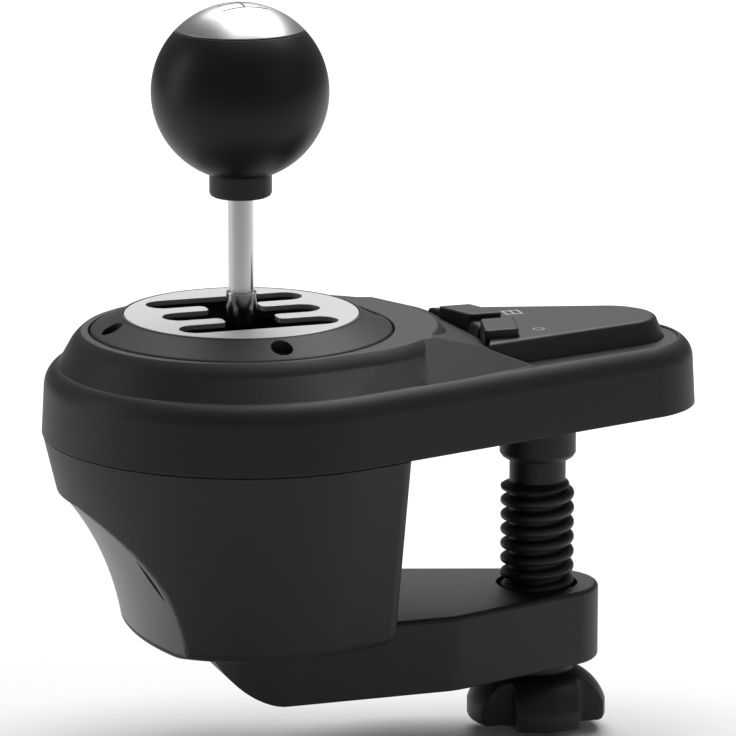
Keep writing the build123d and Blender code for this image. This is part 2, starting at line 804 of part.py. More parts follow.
def cable_socket():
    """A small oblong data socket in the arm's side wall, with no cable in it."""
    width, height = socket_width + 2 * socket_wall, socket_height + 2 * socket_wall
    outer = SlotOverall(width, height)
    inner = SlotOverall(socket_width, socket_height)
    can = extrude(outer, amount=socket_length) - extrude(inner, amount=socket_length - socket_wall)
    tongue = Box(socket_width * 2 / 3, socket_tongue, socket_length - 2 * socket_wall)
    can += Pos(0, 0, socket_length / 2) * tongue
    stand_low = cover_thickness
    stand_depth = socket_z - height / 2 - stand_low
    wall_y = side_half_width(socket_x, 0)
    turned = Pos(socket_x, wall_y, socket_z) * Rot(0, 0, -side_angle) * Rot(90, 0, 0) * can
    foot = Pos(socket_x, wall_y, socket_z - height / 2 - stand_depth / 2) * Rot(0, 0, -side_angle)
    foot = foot * Pos(0, -socket_length * 3 / 4, 0) * Box(width / 2, socket_length / 2, stand_depth)
    return turned + foot


def ribbon_cable():
    """A flat cable, bent once, from the main board up to the button board."""
    low = cover_thickness + main_board_lift + board_thickness
    radius = (button_board_height - low) / 2
    middle = low + radius
    x = main_board_x + main_board_length / 2
    bend = rod_along_y(radius, -ribbon_width / 2, ribbon_width / 2, x=x, z=middle)
    bend -= rod_along_y(radius - ribbon_thickness, -ribbon_width, ribbon_width, x=x, z=middle)
    return bend - block((x, x + 2 * radius), (-ribbon_width, ribbon_width), (low - overrun, 2 * middle))


def screws_at(places, seat, size, flip=False):
    """A group of like screws, heads up, or heads down where the screw comes from below."""
    turn = Rot(180, 0, 0) if flip else Rot(0, 0, 0)
    return Compound([Pos(x, y, seat) * turn * screw(*size) for x, y in places])


# Knob and lever

def knob_ball():
    """The round grip, with a flat top under the cap and a bore for the insert."""
    z = gate_height + ball_height
    ball = Pos(lever_x, 0, z) * Sphere(ball_radius)
    ball -= block((lever_x - ball_radius, lever_x + ball_radius), (-ball_radius, ball_radius),
                  (z + cap_rise - cap_depth, z + ball_radius + overrun))
    neck = rod(sqrt(ball_radius ** 2 - cap_rise ** 2) - cap_depth / 2, z + cap_rise - cap_depth, z + cap_rise,
               x=lever_x)
    rim = Pos(lever_x, 0, z) * Sphere(ball_radius)
    rim &= block((lever_x - ball_radius, lever_x + ball_radius), (-ball_radius, ball_radius),
                 (z + cap_rise - cap_depth, z + cap_rise))
    ball += rim - neck
    spigot_foot = z + cap_rise - cap_depth - cap_spigot_length
    ball -= rod(cap_spigot_radius + slack, spigot_foot - slack, z + ball_radius, x=lever_x)
    ball -= rod(insert_radius, 0, spigot_foot - cap_depth, x=lever_x)
    return ball - rod(collar_radius, gate_height, gate_height + collar_top, x=lever_x)


def knob_cap():
    """The metal cap on the grip: a slice of the same sphere over a spigot."""
    z = gate_height + ball_height
    rim = sqrt(ball_radius ** 2 - cap_rise ** 2) - cap_depth / 2 - slack
    cap = Pos(lever_x, 0, z) * Sphere(ball_radius)
    cap &= block((lever_x - ball_radius, lever_x + ball_radius), (-ball_radius, ball_radius),
                 (z + cap_rise + cap_gap, z + ball_radius + overrun))
    cap += rod(rim, z + cap_rise - cap_depth, z + cap_rise + cap_gap, x=lever_x)
    return cap + rod(cap_spigot_radius, z + cap_rise - cap_depth - cap_spigot_length, z + cap_rise, x=lever_x)


def knob_collar():
    """The short round collar under the grip."""
    low, high = gate_height + collar_foot, gate_height + collar_top
    collar = rod(collar_radius, low, high, x=lever_x)
    collar = fillet(collar.edges().group_by(Axis.Z)[0], collar_round)
    return collar - rod(rod_radius, low - overrun, high + overrun, x=lever_x)


def knob_insert():
    """The threaded metal insert that fixes the grip on the rod."""
    low = gate_height + collar_top
    insert = rod(insert_radius, low, low + insert_length, x=lever_x)
    return insert - rod(rod_thread_radius, low - overrun, low + insert_length + overrun, x=lever_x)


def lever_rod():
    """The bright rod from the sleeve up to the grip, with a thinner threaded end."""
    low, shoulder = rod_foot, gate_height + collar_top
    return rod(rod_radius, low, shoulder, x=lever_x) + rod(
        rod_thread_radius, shoulder, shoulder + insert_length - snug, x=lever_x)


def lever_sleeve():
    """The tube that the rod slides down in for reverse."""
    low, high = sleeve_foot, gate_height + sleeve_top
    sleeve = rod(sleeve_radius, low, high, x=lever_x)
    sleeve = fillet(sleeve.edges().group_by(Axis.Z)[-1], (sleeve_radius - rod_radius) / 3)
    return sleeve - rod(rod_radius + snug, low - overrun, high + overrun, x=lever_x)


def reverse_spring():
    """The spring under the rod, which brings the knob back up after reverse."""
    low, high = sleeve_foot + snug, rod_foot - snug
    turns = 7
    height = high - low - spring_wire
    radius = rod_radius - spring_wire
    return coil(radius, height / turns, turns, spring_wire, low + spring_wire / 2, x=lever_x)


# Pivot, yoke and frame

def pivot_block():
    """The block that holds the sleeve above and the detent tube below, bored for its axle."""
    top = pivot_z + block_height / 2
    foot = pivot_z - block_height / 2
    half_x, half_y = block_length / 2, block_width / 2
    body = block((lever_x - half_x, lever_x + half_x), (-half_y, half_y), (foot, top))
    body = fillet(body.edges().filter_by(Axis.Z), half_x / 4)
    body -= rod_along_y(axle_radius, -block_width, block_width, x=lever_x, z=pivot_z)
    tube = rod(detent_tube_radius, foot - detent_tube_length, foot, x=lever_x)
    body += tube
    return body - rod(detent_pin_radius + snug, foot - 2 * overrun - detent_tube_length,
                      pivot_z - axle_radius * 2, x=lever_x)


def detent_pin():
    """The round-nosed pin that rides on the detent cam."""
    tip = pivot_z - detent_reach
    nose = Pos(lever_x, 0, tip + detent_pin_radius) * Sphere(detent_pin_radius)
    return nose + rod(detent_pin_radius, tip + detent_pin_radius, pivot_z - block_height / 2, x=lever_x)


def detent_spring():
    low = pivot_z - block_height / 2 + snug
    high = pivot_z - axle_radius * 2 - snug
    turns = 4
    radius = detent_pin_radius - spring_wire
    height = high - low - spring_wire
    return coil(radius, height / turns, turns, spring_wire, low + spring_wire / 2, x=lever_x)


def detent_cam():
    """The dished cam on the frame, grooved for the gear positions."""
    low = frame_top
    half = detent_cam_half
    body = block((lever_x - half, lever_x + half), (-half, half), (low, low + detent_cam_rise))
    dish = Pos(lever_x, 0, pivot_z) * Sphere(detent_reach + detent_gap)
    return body - dish


def post_places():
    """Inner and outer face of the two posts, as distances from the lever axis."""
    near = yoke_length / 2 + post_gap
    return near, near + post_thickness


def pivot_frame():
    """The metal frame: a plate screwed to the bucket's floor and two posts that carry the yoke."""
    top = frame_top
    near, far = post_places()
    frame = block((lever_x - far, lever_x + far), (-frame_half_width, frame_half_width),
                  (top - frame_plate, top))
    frame = fillet(frame.edges().filter_by(Axis.Z), frame_plate)
    for side in (1, -1):
        low_x, high_x = sorted((lever_x + side * near, lever_x + side * far))
        post = block((low_x, high_x), (-post_width / 2, post_width / 2),
                     (top - frame_plate, pivot_z + post_rise))
        frame += post
        frame -= rod_along_x(bush_radius, low_x - overrun, high_x + overrun, z=pivot_z)
    for x, y in frame_screw_places:
        frame -= rod(board_screw_radius + slack, top - frame_plate - overrun, top + overrun, x, y)
    return frame


def frame_bushes():
    """Flanged bushes in the posts, which the yoke's pins turn in."""
    near, far = post_places()
    solids = []
    for side in (1, -1):
        low_x, high_x = sorted((side * near, side * far))
        flange = sorted((side * (near - bush_flange), side * near))
        bush = rod_along_x(bush_radius, lever_x + low_x, lever_x + high_x, z=pivot_z)
        bush += rod_along_x(bush_flange_radius, lever_x + flange[0], lever_x + flange[1], z=pivot_z)
        bush -= rod_along_x(side_pin_radius + snug, lever_x - 2 * far, lever_x + 2 * far, z=pivot_z)
        solids.append(bush)
    return Compound(solids)


def side_yoke():
    """The rectangular ring that tilts sideways and carries the lever's axle."""
    half_x, half_y, half_z = yoke_length / 2, yoke_width / 2, yoke_height / 2
    wall_y = half_y - (block_width / 2 + yoke_gap)
    body = block((lever_x - half_x, lever_x + half_x), (-half_y, half_y),
                 (pivot_z - half_z, pivot_z + half_z))
    body = fillet(body.edges().filter_by(Axis.Z), yoke_wall / 2)
    body -= block((lever_x - half_x + yoke_wall, lever_x + half_x - yoke_wall),
                  (-half_y + wall_y, half_y - wall_y), (pivot_z - yoke_height, pivot_z + yoke_height))
    body -= rod_along_y(bush_radius, -yoke_width, yoke_width, x=lever_x, z=pivot_z)
    for side in (1, -1):
        ends = sorted((lever_x + side * (half_x - side_pin_seat), lever_x + side * (half_x + overrun)))
        body -= rod_along_x(side_pin_radius, ends[0], ends[1], z=pivot_z)
        x = lever_x + side * (sensor_board_size / 2 - sensor_post_radius)
        body += rod_along_y(sensor_post_radius, half_y - overrun, sensor_board_y(), x=x, z=pivot_z)
    return body


def sensor_board_y():
    """Where the yoke's sensor board stands, across the object."""
    return axle_half_length + magnet_thickness + magnet_gap


def yoke_bushes():
    """Plain bushes for the lever's axle, pressed into the yoke's long sides."""
    half_y = yoke_width / 2
    inner = block_width / 2 + yoke_gap
    solids = []
    for side in (1, -1):
        ends = sorted((side * inner, side * half_y))
        bush = rod_along_y(bush_radius, ends[0], ends[1], x=lever_x, z=pivot_z)
        solids.append(bush - rod_along_y(axle_radius + snug, -yoke_width, yoke_width, x=lever_x, z=pivot_z))
    return Compound(solids)


def side_pins():
    """Two steel pins, fixed in the yoke and turning in the frame's bushes."""
    inner = yoke_length / 2 - side_pin_seat
    solids = []
    for side in (1, -1):
        ends = sorted((lever_x + side * inner, lever_x + side * side_pin_end))
        solids.append(rod_along_x(side_pin_radius, ends[0], ends[1], z=pivot_z))
    return Compound(solids)


def side_magnet():
    """The magnet on the front pin's end, read by the side sensor."""
    high = lever_x - side_pin_end
    return rod_along_x(magnet_radius, high - magnet_thickness, high, z=pivot_z)


def side_sensor_board():
    """The sensor board that stands on two spacers ahead of the front post."""
    half = sensor_board_size / 2
    x = lever_x - side_pin_end - magnet_thickness - magnet_gap
    sheet = block((x - sensor_board_thickness, x), (-half, half), (pivot_z - half, pivot_z + half / 2))
    post_face = lever_x - post_places()[1]
    for side in (1, -1):
        sheet += rod_along_x(sensor_post_radius, x, post_face, y=side * (half - sensor_post_radius),
                             z=pivot_z - half + sensor_post_radius)
    return sheet


def shift_axle():
    return rod_along_y(axle_radius, -axle_half_length, axle_half_length, x=lever_x, z=pivot_z)


def shift_magnet():
    face = axle_half_length
    return rod_along_y(magnet_radius, face, face + magnet_thickness, x=lever_x, z=pivot_z)


def shift_sensor_board():
    """The sensor board on the yoke, facing the axle's magnet."""
    y = sensor_board_y()
    half = sensor_board_size / 2
    return block((lever_x - half, lever_x + half), (y, y + sensor_board_thickness),
                 (pivot_z - half / 2, pivot_z + half / 2))


def centring_springs():
    """Two short torsion springs round the yoke's pins, between the yoke and the posts."""
    room = post_gap - bush_flange
    pitch = torsion_wire * 5 / 4
    height = pitch * torsion_turns + torsion_wire
    solids = []
    for side in (1, -1):
        spring = coil(torsion_radius, pitch, torsion_turns, torsion_wire, -pitch * torsion_turns / 2)
        middle = yoke_length / 2 + (room - height) / 2 + height / 2
        solids.append(Pos(lever_x + side * middle, 0, pivot_z) * Rot(0, 90, 0) * spring)
    return Compound(solids)


far_post = post_places()[1]
side_pin_end = far_post + slack
frame_screw_edge = frame_plate * 3 / 2
frame_screw_places = [(lever_x + sx * (far_post - frame_screw_edge),
                       sy * (frame_half_width - frame_screw_edge))
                      for sx in (1, -1) for sy in (1, -1)]


# Clamp

def jaw_face():
    """The lower arm's outline: a round tip, sides that open out, then a parallel root."""
    knee = (-jaw_knee, jaw_half_width)
    reach = sqrt((jaw_tip_x - knee[0]) ** 2 + knee[1] ** 2)
    lean = atan(knee[1] / (jaw_tip_x - knee[0])) - (pi / 2 - acos(jaw_tip_radius / reach))
    tip = (jaw_tip_x + jaw_tip_radius * sin(lean), jaw_tip_radius * cos(lean))
    shoulder = (-jaw_front + jaw_front_round, jaw_half_width)
    bend = (-jaw_front + jaw_front_round * (1 - root_half),
            jaw_half_width - jaw_front_round * (1 - root_half))
    nose = (-jaw_front, jaw_half_width - jaw_front_round)
    def low(point):
        return point[0], -point[1]
    return make_face([
        ThreePointArc(low(tip), (jaw_tip_x + jaw_tip_radius, 0), tip),
        Line(tip, knee), Line(knee, shoulder), ThreePointArc(shoulder, bend, nose), Line(nose, low(nose)),
        ThreePointArc(low(nose), low(bend), low(shoulder)), Line(low(shoulder), low(knee)),
        Line(low(knee), low(tip)),
    ])


def clamp_arm():
    """The lower arm of the clamp, bolted under the bucket, with a round hole for its nut."""
    low, high = jaw_foot, jaw_top
    arm = Pos(0, 0, low) * extrude(jaw_face(), amount=jaw_thickness)
    arm = chamfer(arm.faces().sort_by(Axis.Z)[-1].edges(), jaw_edge)
    toe_middle = (-jaw_toe_mid_x, -bucket_depth - jaw_toe_mid_drop)
    toe = [Line((-jaw_front - overrun, -bucket_depth), (-jaw_front, -bucket_depth)),
           ThreePointArc((-jaw_front, -bucket_depth), toe_middle, (-jaw_toe_x, low)),
           Line((-jaw_toe_x, low), (-jaw_toe_x, low - overrun)),
           Line((-jaw_toe_x, low - overrun), (-jaw_front - overrun, low - overrun)),
           Line((-jaw_front - overrun, low - overrun), (-jaw_front - overrun, -bucket_depth))]
    arm -= side_profile(toe, body_radius)
    arm -= block((-jaw_front - overrun, -bucket_back + seam), (-body_radius, body_radius),
                 (-bucket_depth - seam, high + overrun))
    arm -= rod(jaw_hole_radius, low - overrun, high + overrun)
    arm -= rod(nut_radius, low - overrun, high - jaw_hole_depth)
    for x, y in jaw_bolt_places:
        arm -= rod(jaw_bolt_radius + slack, low - overrun, high, x, y)
        arm -= rod(jaw_bolt_head_radius + slack, low - overrun, jaw_bolt_seat, x, y)
    return arm


def clamp_nut():
    """The plastic nut sleeve in the lower arm, which the screw turns in."""
    low, high = jaw_foot, jaw_top - jaw_hole_depth
    return rod(nut_radius, low, high) - rod(thread_radius + nut_clearance, low - overrun, high + overrun)


def clamp_screw():
    """The clamp's plastic screw: a core with a rounded right-hand thread."""
    core_top = -pad_depth + pad_bore_depth - slack
    core_foot = jaw_foot - seam - clamp_knob_bore_depth
    core = rod(core_radius, core_foot, core_top)
    thread_foot = jaw_foot + ridge_radius
    turns = int((-thread_top - thread_foot) / thread_pitch)
    ridge = coil(thread_radius - ridge_radius, thread_pitch, turns, 2 * ridge_radius, thread_foot)
    core += ridge
    groove_low = -pad_depth + clip_height
    groove = rod(core_radius + overrun, groove_low, groove_low + clip_thickness + 2 * slack)
    groove -= rod(core_radius - clip_bite, groove_low - overrun, groove_low + 2 * clip_thickness + overrun)
    return core - groove


def pad_clip():
    """The snap ring in the screw's groove that keeps the pad on."""
    low = -pad_depth + clip_height + slack
    ring = rod(core_radius + clip_bite, low, low + clip_thickness)
    ring -= rod(core_radius - clip_bite + snug, low - overrun, low + clip_thickness + overrun)
    return ring - block((0, 2 * core_radius), (-clip_bite, clip_bite),
                        (low - overrun, low + 2 * clip_thickness))


def clamp_pad():
    """The round foot that the screw pushes up under the desk."""
    high = -pad_rest_gap - pad_rubber
    pad = rod(pad_radius, -pad_depth, high)
    pad = chamfer(pad.edges().group_by(Axis.Z)[0], pad_chamfer)
    pad -= rod(core_radius + snug, -pad_depth - overrun, -pad_depth + pad_bore_depth)
    groove_low = -pad_depth + clip_height - slack
    return pad - rod(core_radius + clip_bite + slack, groove_low, groove_low + clip_thickness + 4 * slack)


def pad_face():
    """The rubber disc on the pad."""
    disc = rod(pad_radius - pad_rest_gap, -pad_rest_gap - pad_rubber, -pad_rest_gap)
    return chamfer(disc.edges().group_by(Axis.Z)[-1], pad_rest_gap)


def lobed_face():
    """A cross of four wide lobes with rounded ends and rounded valleys."""
    half = clamp_knob_lobe_width / 2
    face = Rectangle(2 * clamp_knob_radius, 2 * half) + Rectangle(2 * half, 2 * clamp_knob_radius)
    valleys = [v for v in face.vertices() if abs(abs(v.X) - abs(v.Y)) < half / 4]
    face = fillet(valleys, clamp_knob_valley_round)
    ends = [v for v in face.vertices() if max(abs(v.X), abs(v.Y)) > clamp_knob_radius - half / 4]
    return fillet(ends, clamp_knob_lobe_round) & Circle(clamp_knob_radius)


def clamp_knob():
    """The four-lobed knob under the lower arm, domed towards its neck."""
    neck_top = jaw_foot - seam
    dome_high = neck_top - clamp_knob_neck
    dome_low = dome_high - clamp_knob_dome
    low = dome_low - clamp_knob_skirt
    star = Pos(0, 0, low) * extrude(lobed_face(), amount=dome_high - low)
    shoulder = (clamp_knob_neck_radius + clamp_knob_shoulder, dome_high - clamp_knob_dome * 3 / 8)
    profile = make_face([
        Line((0, low), (clamp_knob_radius - clamp_knob_edge, low)),
        Line((clamp_knob_radius - clamp_knob_edge, low), (clamp_knob_radius, low + clamp_knob_edge)),
        Line((clamp_knob_radius, low + clamp_knob_edge), (clamp_knob_radius, dome_low)),
        ThreePointArc((clamp_knob_radius, dome_low), shoulder, (clamp_knob_neck_radius, dome_high)),
        Line((clamp_knob_neck_radius, dome_high), (0, dome_high)),
        Line((0, dome_high), (0, low)),
    ])
    knob = Rot(0, 0, clamp_knob_turn) * (star & revolve(Plane.XZ * profile, axis=Axis.Z))
    knob += rod(clamp_knob_neck_radius, dome_high, neck_top)
    return knob - rod(core_radius, neck_top - clamp_knob_bore_depth, neck_top + overrun)


# Write every node

gate_screw_size = (gate_screw_head_radius, gate_screw_head_height, gate_screw_radius, gate_screw_length)
base_screw_size = (base_screw_head_radius, base_screw_head_height / 2, base_screw_radius, base_screw_length)
board_screw_size = (board_screw_head_radius, board_screw_head_height, board_screw_radius, frame_plate)
casing_screw_size = (casing_screw_head_radius, casing_screw_head_height, casing_screw_radius,
                     casing_screw_length)
jaw_bolt_size = (jaw_bolt_head_radius, jaw_bolt_head_height, jaw_bolt_radius, jaw_bolt_top - jaw_bolt_seat)
main_board_low = cover_thickness + main_board_lift

nodes = {
    "upper_shell": upper_shell,
    "gate_ring": gate_ring,
    "gate_plate": gate_plate,
    "gate_screws": lambda: screws_at(gate_screw_places, gate_screw_seat, gate_screw_size),
    "lower_bucket": lower_bucket,
    "front_trim": front_trim,
    "casing_screws": lambda: screws_at(casing_screw_places, -casing_screw_head_height, casing_screw_size,
                                       True),
    "arm_cover": arm_cover,
    "desk_pad": desk_pad,
    "cover_screws": lambda: screws_at(base_screw_places, cover_thickness / 2, base_screw_size, True),
    "button_panel": button_panel,
    "range_button": lambda: button(1),
    "mode_button": lambda: button(-1),
    "range_plunger": lambda: switch_plunger(1),
    "mode_plunger": lambda: switch_plunger(-1),
    "button_switches": button_switches,
    "button_board": lambda: board(button_board_x, button_board_places, button_board_length,
                                  button_board_width, button_board_height, board_screw_radius + slack),
    "button_board_screws": lambda: screws_at(button_board_places, button_board_height, board_screw_size,
                                             True),
    "panel_screws": lambda: screws_at(panel_screw_places, band_top - casing_wall, board_screw_size, True),
    "ribbon_cable": ribbon_cable,
    "main_board": lambda: board(main_board_x, main_board_places, main_board_length, main_board_width,
                                main_board_low, board_screw_radius + slack),
    "main_board_screws": lambda: screws_at(main_board_places, main_board_low + board_thickness,
                                           board_screw_size),
    "cable_socket": cable_socket,
    "knob_ball": knob_ball,
    "knob_cap": knob_cap,
    "knob_collar": knob_collar,
    "knob_insert": knob_insert,
    "lever_rod": lever_rod,
    "lever_sleeve": lever_sleeve,
    "reverse_spring": reverse_spring,
    "pivot_block": pivot_block,
    "detent_pin": detent_pin,
    "detent_spring": detent_spring,
    "detent_cam": detent_cam,
    "shift_axle": shift_axle,
    "shift_magnet": shift_magnet,
    "side_yoke": side_yoke,
    "yoke_bushes": yoke_bushes,
    "side_pins": side_pins,
    "side_magnet": side_magnet,
    "shift_sensor_board": shift_sensor_board,
    "side_sensor_board": side_sensor_board,
    "centring_springs": centring_springs,
    "pivot_frame": pivot_frame,
    "frame_bushes": frame_bushes,
    "frame_screws": lambda: screws_at(frame_screw_places, frame_top, board_screw_size),
    "clamp_arm": clamp_arm,
    "arm_bolts": lambda: screws_at(jaw_bolt_places, jaw_bolt_seat, jaw_bolt_size, True),
    "clamp_nut": clamp_nut,
    "clamp_screw": clamp_screw,
    "pad_clip": pad_clip,
    "clamp_pad": clamp_pad,
    "pad_face": pad_face,
    "clamp_knob": clamp_knob,
}
for node, make in nodes.items():
    place(node, make())
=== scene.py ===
from cmath import exp, phase
from math import asin, atan2, cos, hypot, pi, radians, sin, sqrt

import bmesh
import bpy
from mathutils import Matrix, Vector


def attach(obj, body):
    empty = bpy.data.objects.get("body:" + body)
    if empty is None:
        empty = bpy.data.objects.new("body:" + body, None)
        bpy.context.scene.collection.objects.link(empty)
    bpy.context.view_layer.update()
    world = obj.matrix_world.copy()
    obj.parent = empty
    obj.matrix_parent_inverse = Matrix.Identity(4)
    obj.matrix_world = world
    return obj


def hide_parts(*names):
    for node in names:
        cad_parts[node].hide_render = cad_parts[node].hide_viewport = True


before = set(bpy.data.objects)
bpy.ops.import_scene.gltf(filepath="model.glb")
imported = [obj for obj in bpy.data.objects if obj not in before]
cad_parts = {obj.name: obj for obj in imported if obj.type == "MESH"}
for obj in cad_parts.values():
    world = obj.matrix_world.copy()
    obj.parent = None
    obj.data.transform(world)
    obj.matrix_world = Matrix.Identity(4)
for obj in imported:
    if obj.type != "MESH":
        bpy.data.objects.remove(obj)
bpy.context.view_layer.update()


# The camera stands where the photograph was taken: a long lens, a little above the gate and
# turned towards the shifter's near left. Its direction comes from the gate plate's ellipse.
view_turn = radians(-18.464)
view_rise = radians(13.078)
camera_data = bpy.data.cameras.new("camera")
camera_data.lens = 250.2
camera_data.sensor_width = 36.0
camera_data.clip_end = 20.0
camera = bpy.data.objects.new("camera", camera_data)
towards_camera = Vector((sin(view_turn) * cos(view_rise), -cos(view_turn) * cos(view_rise), sin(view_rise)))
camera.location = (-0.52169, -1.40115, 0.3585)
camera.rotation_euler = (-towards_camera).to_track_quat("-Z", "Y").to_euler()
bpy.context.scene.collection.objects.link(camera)
bpy.context.scene.camera = camera
bpy.context.scene.view_settings.view_transform = "Standard"


# The lower casing is a bucket under the round body, one moulding in black plastic with a fine
# matt grain. Its wall draws in towards the floor, its back is upright where the desk's edge
# comes, and a bowed hollow is cut into its front. Screws pull it up to the top casing.
class Socket:
    """One output of a node. Python's operators on it add the Math nodes."""

    def __init__(self, finish, output):
        self.finish = finish
        self.output = output

    def maths(self, operation, first, second):
        return self.finish.node("ShaderNodeMath", {"operation": operation}, {0: first, 1: second})

    def __add__(self, other):
        return self.maths("ADD", self, other)

    def __radd__(self, other):
        return self.maths("ADD", other, self)

    def __mul__(self, other):
        return self.maths("MULTIPLY", self, other)

    def __rmul__(self, other):
        return self.maths("MULTIPLY", other, self)


class Finish:
    """A material while it is built, on the piece's own coordinates in metres."""

    def __init__(self, name, **constants):
        self.material = bpy.data.materials.new(name)
        self.material.use_nodes = True
        self.tree = self.material.node_tree
        self.shader = self.tree.nodes["Principled BSDF"]
        self.set(**constants)
        self.place = self.node("ShaderNodeTexCoord", output="Object")

    def node(self, kind, settings=None, sockets=None, output=0):
        made = self.tree.nodes.new(kind)
        for name, value in (settings or {}).items():
            setattr(made, name, value)
        for name, value in (sockets or {}).items():
            self.feed(made.inputs[name], value)
        return Socket(self, made.outputs[output])

    def feed(self, socket, value):
        if isinstance(value, Socket):
            self.tree.links.new(value.output, socket)
        else:
            socket.default_value = value

    def set(self, **values):
        for name, value in values.items():
            self.feed(self.shader.inputs[name.replace("_", " ").title().replace("Ior", "IOR")], value)

    def noise(self, scale, detail=2.0, stretch=(1, 1, 1)):
        spread = self.node("ShaderNodeMapping", {}, {"Vector": self.place, "Scale": stretch})
        return self.node("ShaderNodeTexNoise", {}, {"Vector": spread, "Scale": scale, "Detail": detail})

    def between(self, mask, low, high):
        """A colour that goes from one to another with a mask."""
        return self.node("ShaderNodeMix", {"data_type": "RGBA"}, {0: mask, 6: (*low, 1), 7: (*high, 1)}, 2)

    def relief(self, height, depth, edge=0.0):
        """Bumps the surface by a height from 0 to 1, over edges that are broken by a small round."""
        sockets = {"Height": height, "Distance": depth}
        if edge:
            sockets["Normal"] = self.node("ShaderNodeBevel", {"samples": 6}, {"Radius": edge})
        self.set(normal=self.node("ShaderNodeBump", {}, sockets))


def grey(value):
    """A neutral tone with a trace of blue."""
    return (value, value, value * 1.03)


def moulded(name, tone, roughness, grain=0.000012, edge=0.0004, gloss=0.4):
    """Injection-moulded plastic: a fine eroded grain, faint flow marks and uneven gloss."""
    finish = Finish(name, specular_ior_level=gloss)
    fine = finish.noise(scale=2600.0, detail=3.0)
    cloud = finish.noise(scale=38.0, detail=3.0)
    finish.set(base_color=finish.between(cloud, grey(tone * 0.86), grey(tone * 1.16)))
    finish.set(roughness=roughness - 0.06 + 0.08 * cloud + 0.06 * fine)
    finish.relief(fine, grain, edge)
    return finish.material


lever_x = -0.093
body_x = -0.091
tip_x = 0.0205
body_radius = 0.0609
tip_radius = 0.028
bucket_depth = 0.0593
bucket_lean = 0.014
bucket_draft = bucket_lean / bucket_depth
bucket_inset = 0.00015
bucket_top = -0.0003
bucket_back = -0.0572
bucket_wall = 0.0024
back_round = 0.004
foot_round = 0.0035
mouth_over = 0.003
cove_front = body_x - body_radius
cove_lip = (cove_front + 0.0049, -0.28 * bucket_depth)
cove_middle = (cove_front + 0.0163, -0.5666 * bucket_depth)
cove_end = (cove_front + 0.0253, -bucket_depth - 0.002)
cove_axis = cove_front + 0.128
cove_over = 0.02
cove_fall = 0.75
trim_thickness = 0.0013
trim_rim = 0.001
black_shell = moulded("black_shell", 0.0100, 0.50)


def arc_points(start, middle, end, steps):
    """Points along the circle that runs from the start through the middle to the end."""
    a, b, c = complex(*start), complex(*middle), complex(*end)
    share = (c - a) / (b - a)
    centre = a + (b - a) * (share - abs(share) ** 2) / (2j * share.imag)
    swing = phase((c - centre) / (a - centre))
    spots = [centre + (a - centre) * exp(1j * swing * step / steps) for step in range(steps + 1)]
    return [(spot.real, spot.imag) for spot in spots]


def round_loop(bm, height, radius, centre, far_radius=None, far_centre=None, steps=160):
    """A level loop round one circle, or round two circles with their common tangents."""
    verts = bmesh.ops.create_circle(bm, radius=1, segments=steps)["verts"]
    far_radius = radius if far_radius is None else far_radius
    far_centre = centre if far_centre is None else far_centre
    lean = (radius - far_radius) / (far_centre - centre) if far_centre != centre else 0
    for vert in verts:
        if vert.co.x > lean:
            vert.co = vert.co * far_radius + Vector((far_centre, 0, height))
        else:
            vert.co = vert.co * radius + Vector((centre, 0, height))
    return list({edge for vert in verts for edge in vert.link_edges})


def casing_loop(bm, height, inset):
    """The casing's outline at one height: the round body, the arm's tip and their tangents."""
    return round_loop(bm, height, body_radius - inset, body_x, tip_radius - inset, tip_x)


def stack(bm, loops):
    """Joins level loops into one closed body, flat at both ends."""
    for lower, upper in zip(loops, loops[1:]):
        bmesh.ops.bridge_loops(bm, edges=lower + upper)
    for end in (loops[0], loops[-1]):
        bmesh.ops.contextual_create(bm, geom=end)
    return bm


def slice_off(bm, place, outwards):
    """Cuts a body by a plane and closes the cut."""
    cut = bmesh.ops.bisect_plane(bm, geom=bm.verts[:] + bm.edges[:] + bm.faces[:], clear_outer=True,
                                 plane_co=place, plane_no=outwards)
    rim = [part for part in cut["geom_cut"] if isinstance(part, bmesh.types.BMEdge)]
    if rim:
        bmesh.ops.contextual_create(bm, geom=rim)
    return bm


def round_edges(bm, edges, size, segments=5):
    """Rounds some edges of a body by one radius."""
    bmesh.ops.bevel(bm, geom=edges, offset=size, segments=segments, profile=0.5, affect="EDGES", material=-1)
    return bm


def rim_at(bm, height, slack=0.00001, sharp=0.5):
    """The sharp edges round a body at one height."""
    return [edge for edge in bm.edges if all(abs(vert.co.z - height) < slack for vert in edge.verts)
            and edge.calc_face_angle(0) > sharp]


def upright_at(bm, x, least, slack=0.00001):
    """The edges that run up a flat end at one x, longer than the least."""
    return [edge for edge in bm.edges if all(abs(vert.co.x - x) < slack for vert in edge.verts)
            and abs(edge.verts[0].co.z - edge.verts[1].co.z) > least]


def stand_in(bm, name):
    """Makes a body an object at the origin, with its faces turned outwards."""
    mesh = bpy.data.meshes.new(name)
    bmesh.ops.recalc_face_normals(bm, faces=bm.faces)
    bm.to_mesh(mesh)
    bm.free()
    made = bpy.data.objects.new(name, mesh)
    bpy.context.scene.collection.objects.link(made)
    return made


def combine(base, tool, operation="DIFFERENCE"):
    """Cuts, joins or intersects two closed bodies, and returns the outcome as a new one."""
    pair = [stand_in(base, "base"), stand_in(tool, "tool")]
    modifier = pair[0].modifiers.new("combine", "BOOLEAN")
    modifier.operation = operation
    modifier.object = pair[1]
    result = bmesh.new()
    result.from_object(pair[0], bpy.context.evaluated_depsgraph_get())
    for made in pair:
        mesh = made.data
        bpy.data.objects.remove(made)
        bpy.data.meshes.remove(mesh)
    bmesh.ops.remove_doubles(result, verts=result.verts, dist=0.000003)
    bmesh.ops.dissolve_degenerate(result, edges=result.edges, dist=0.000002)
    return result


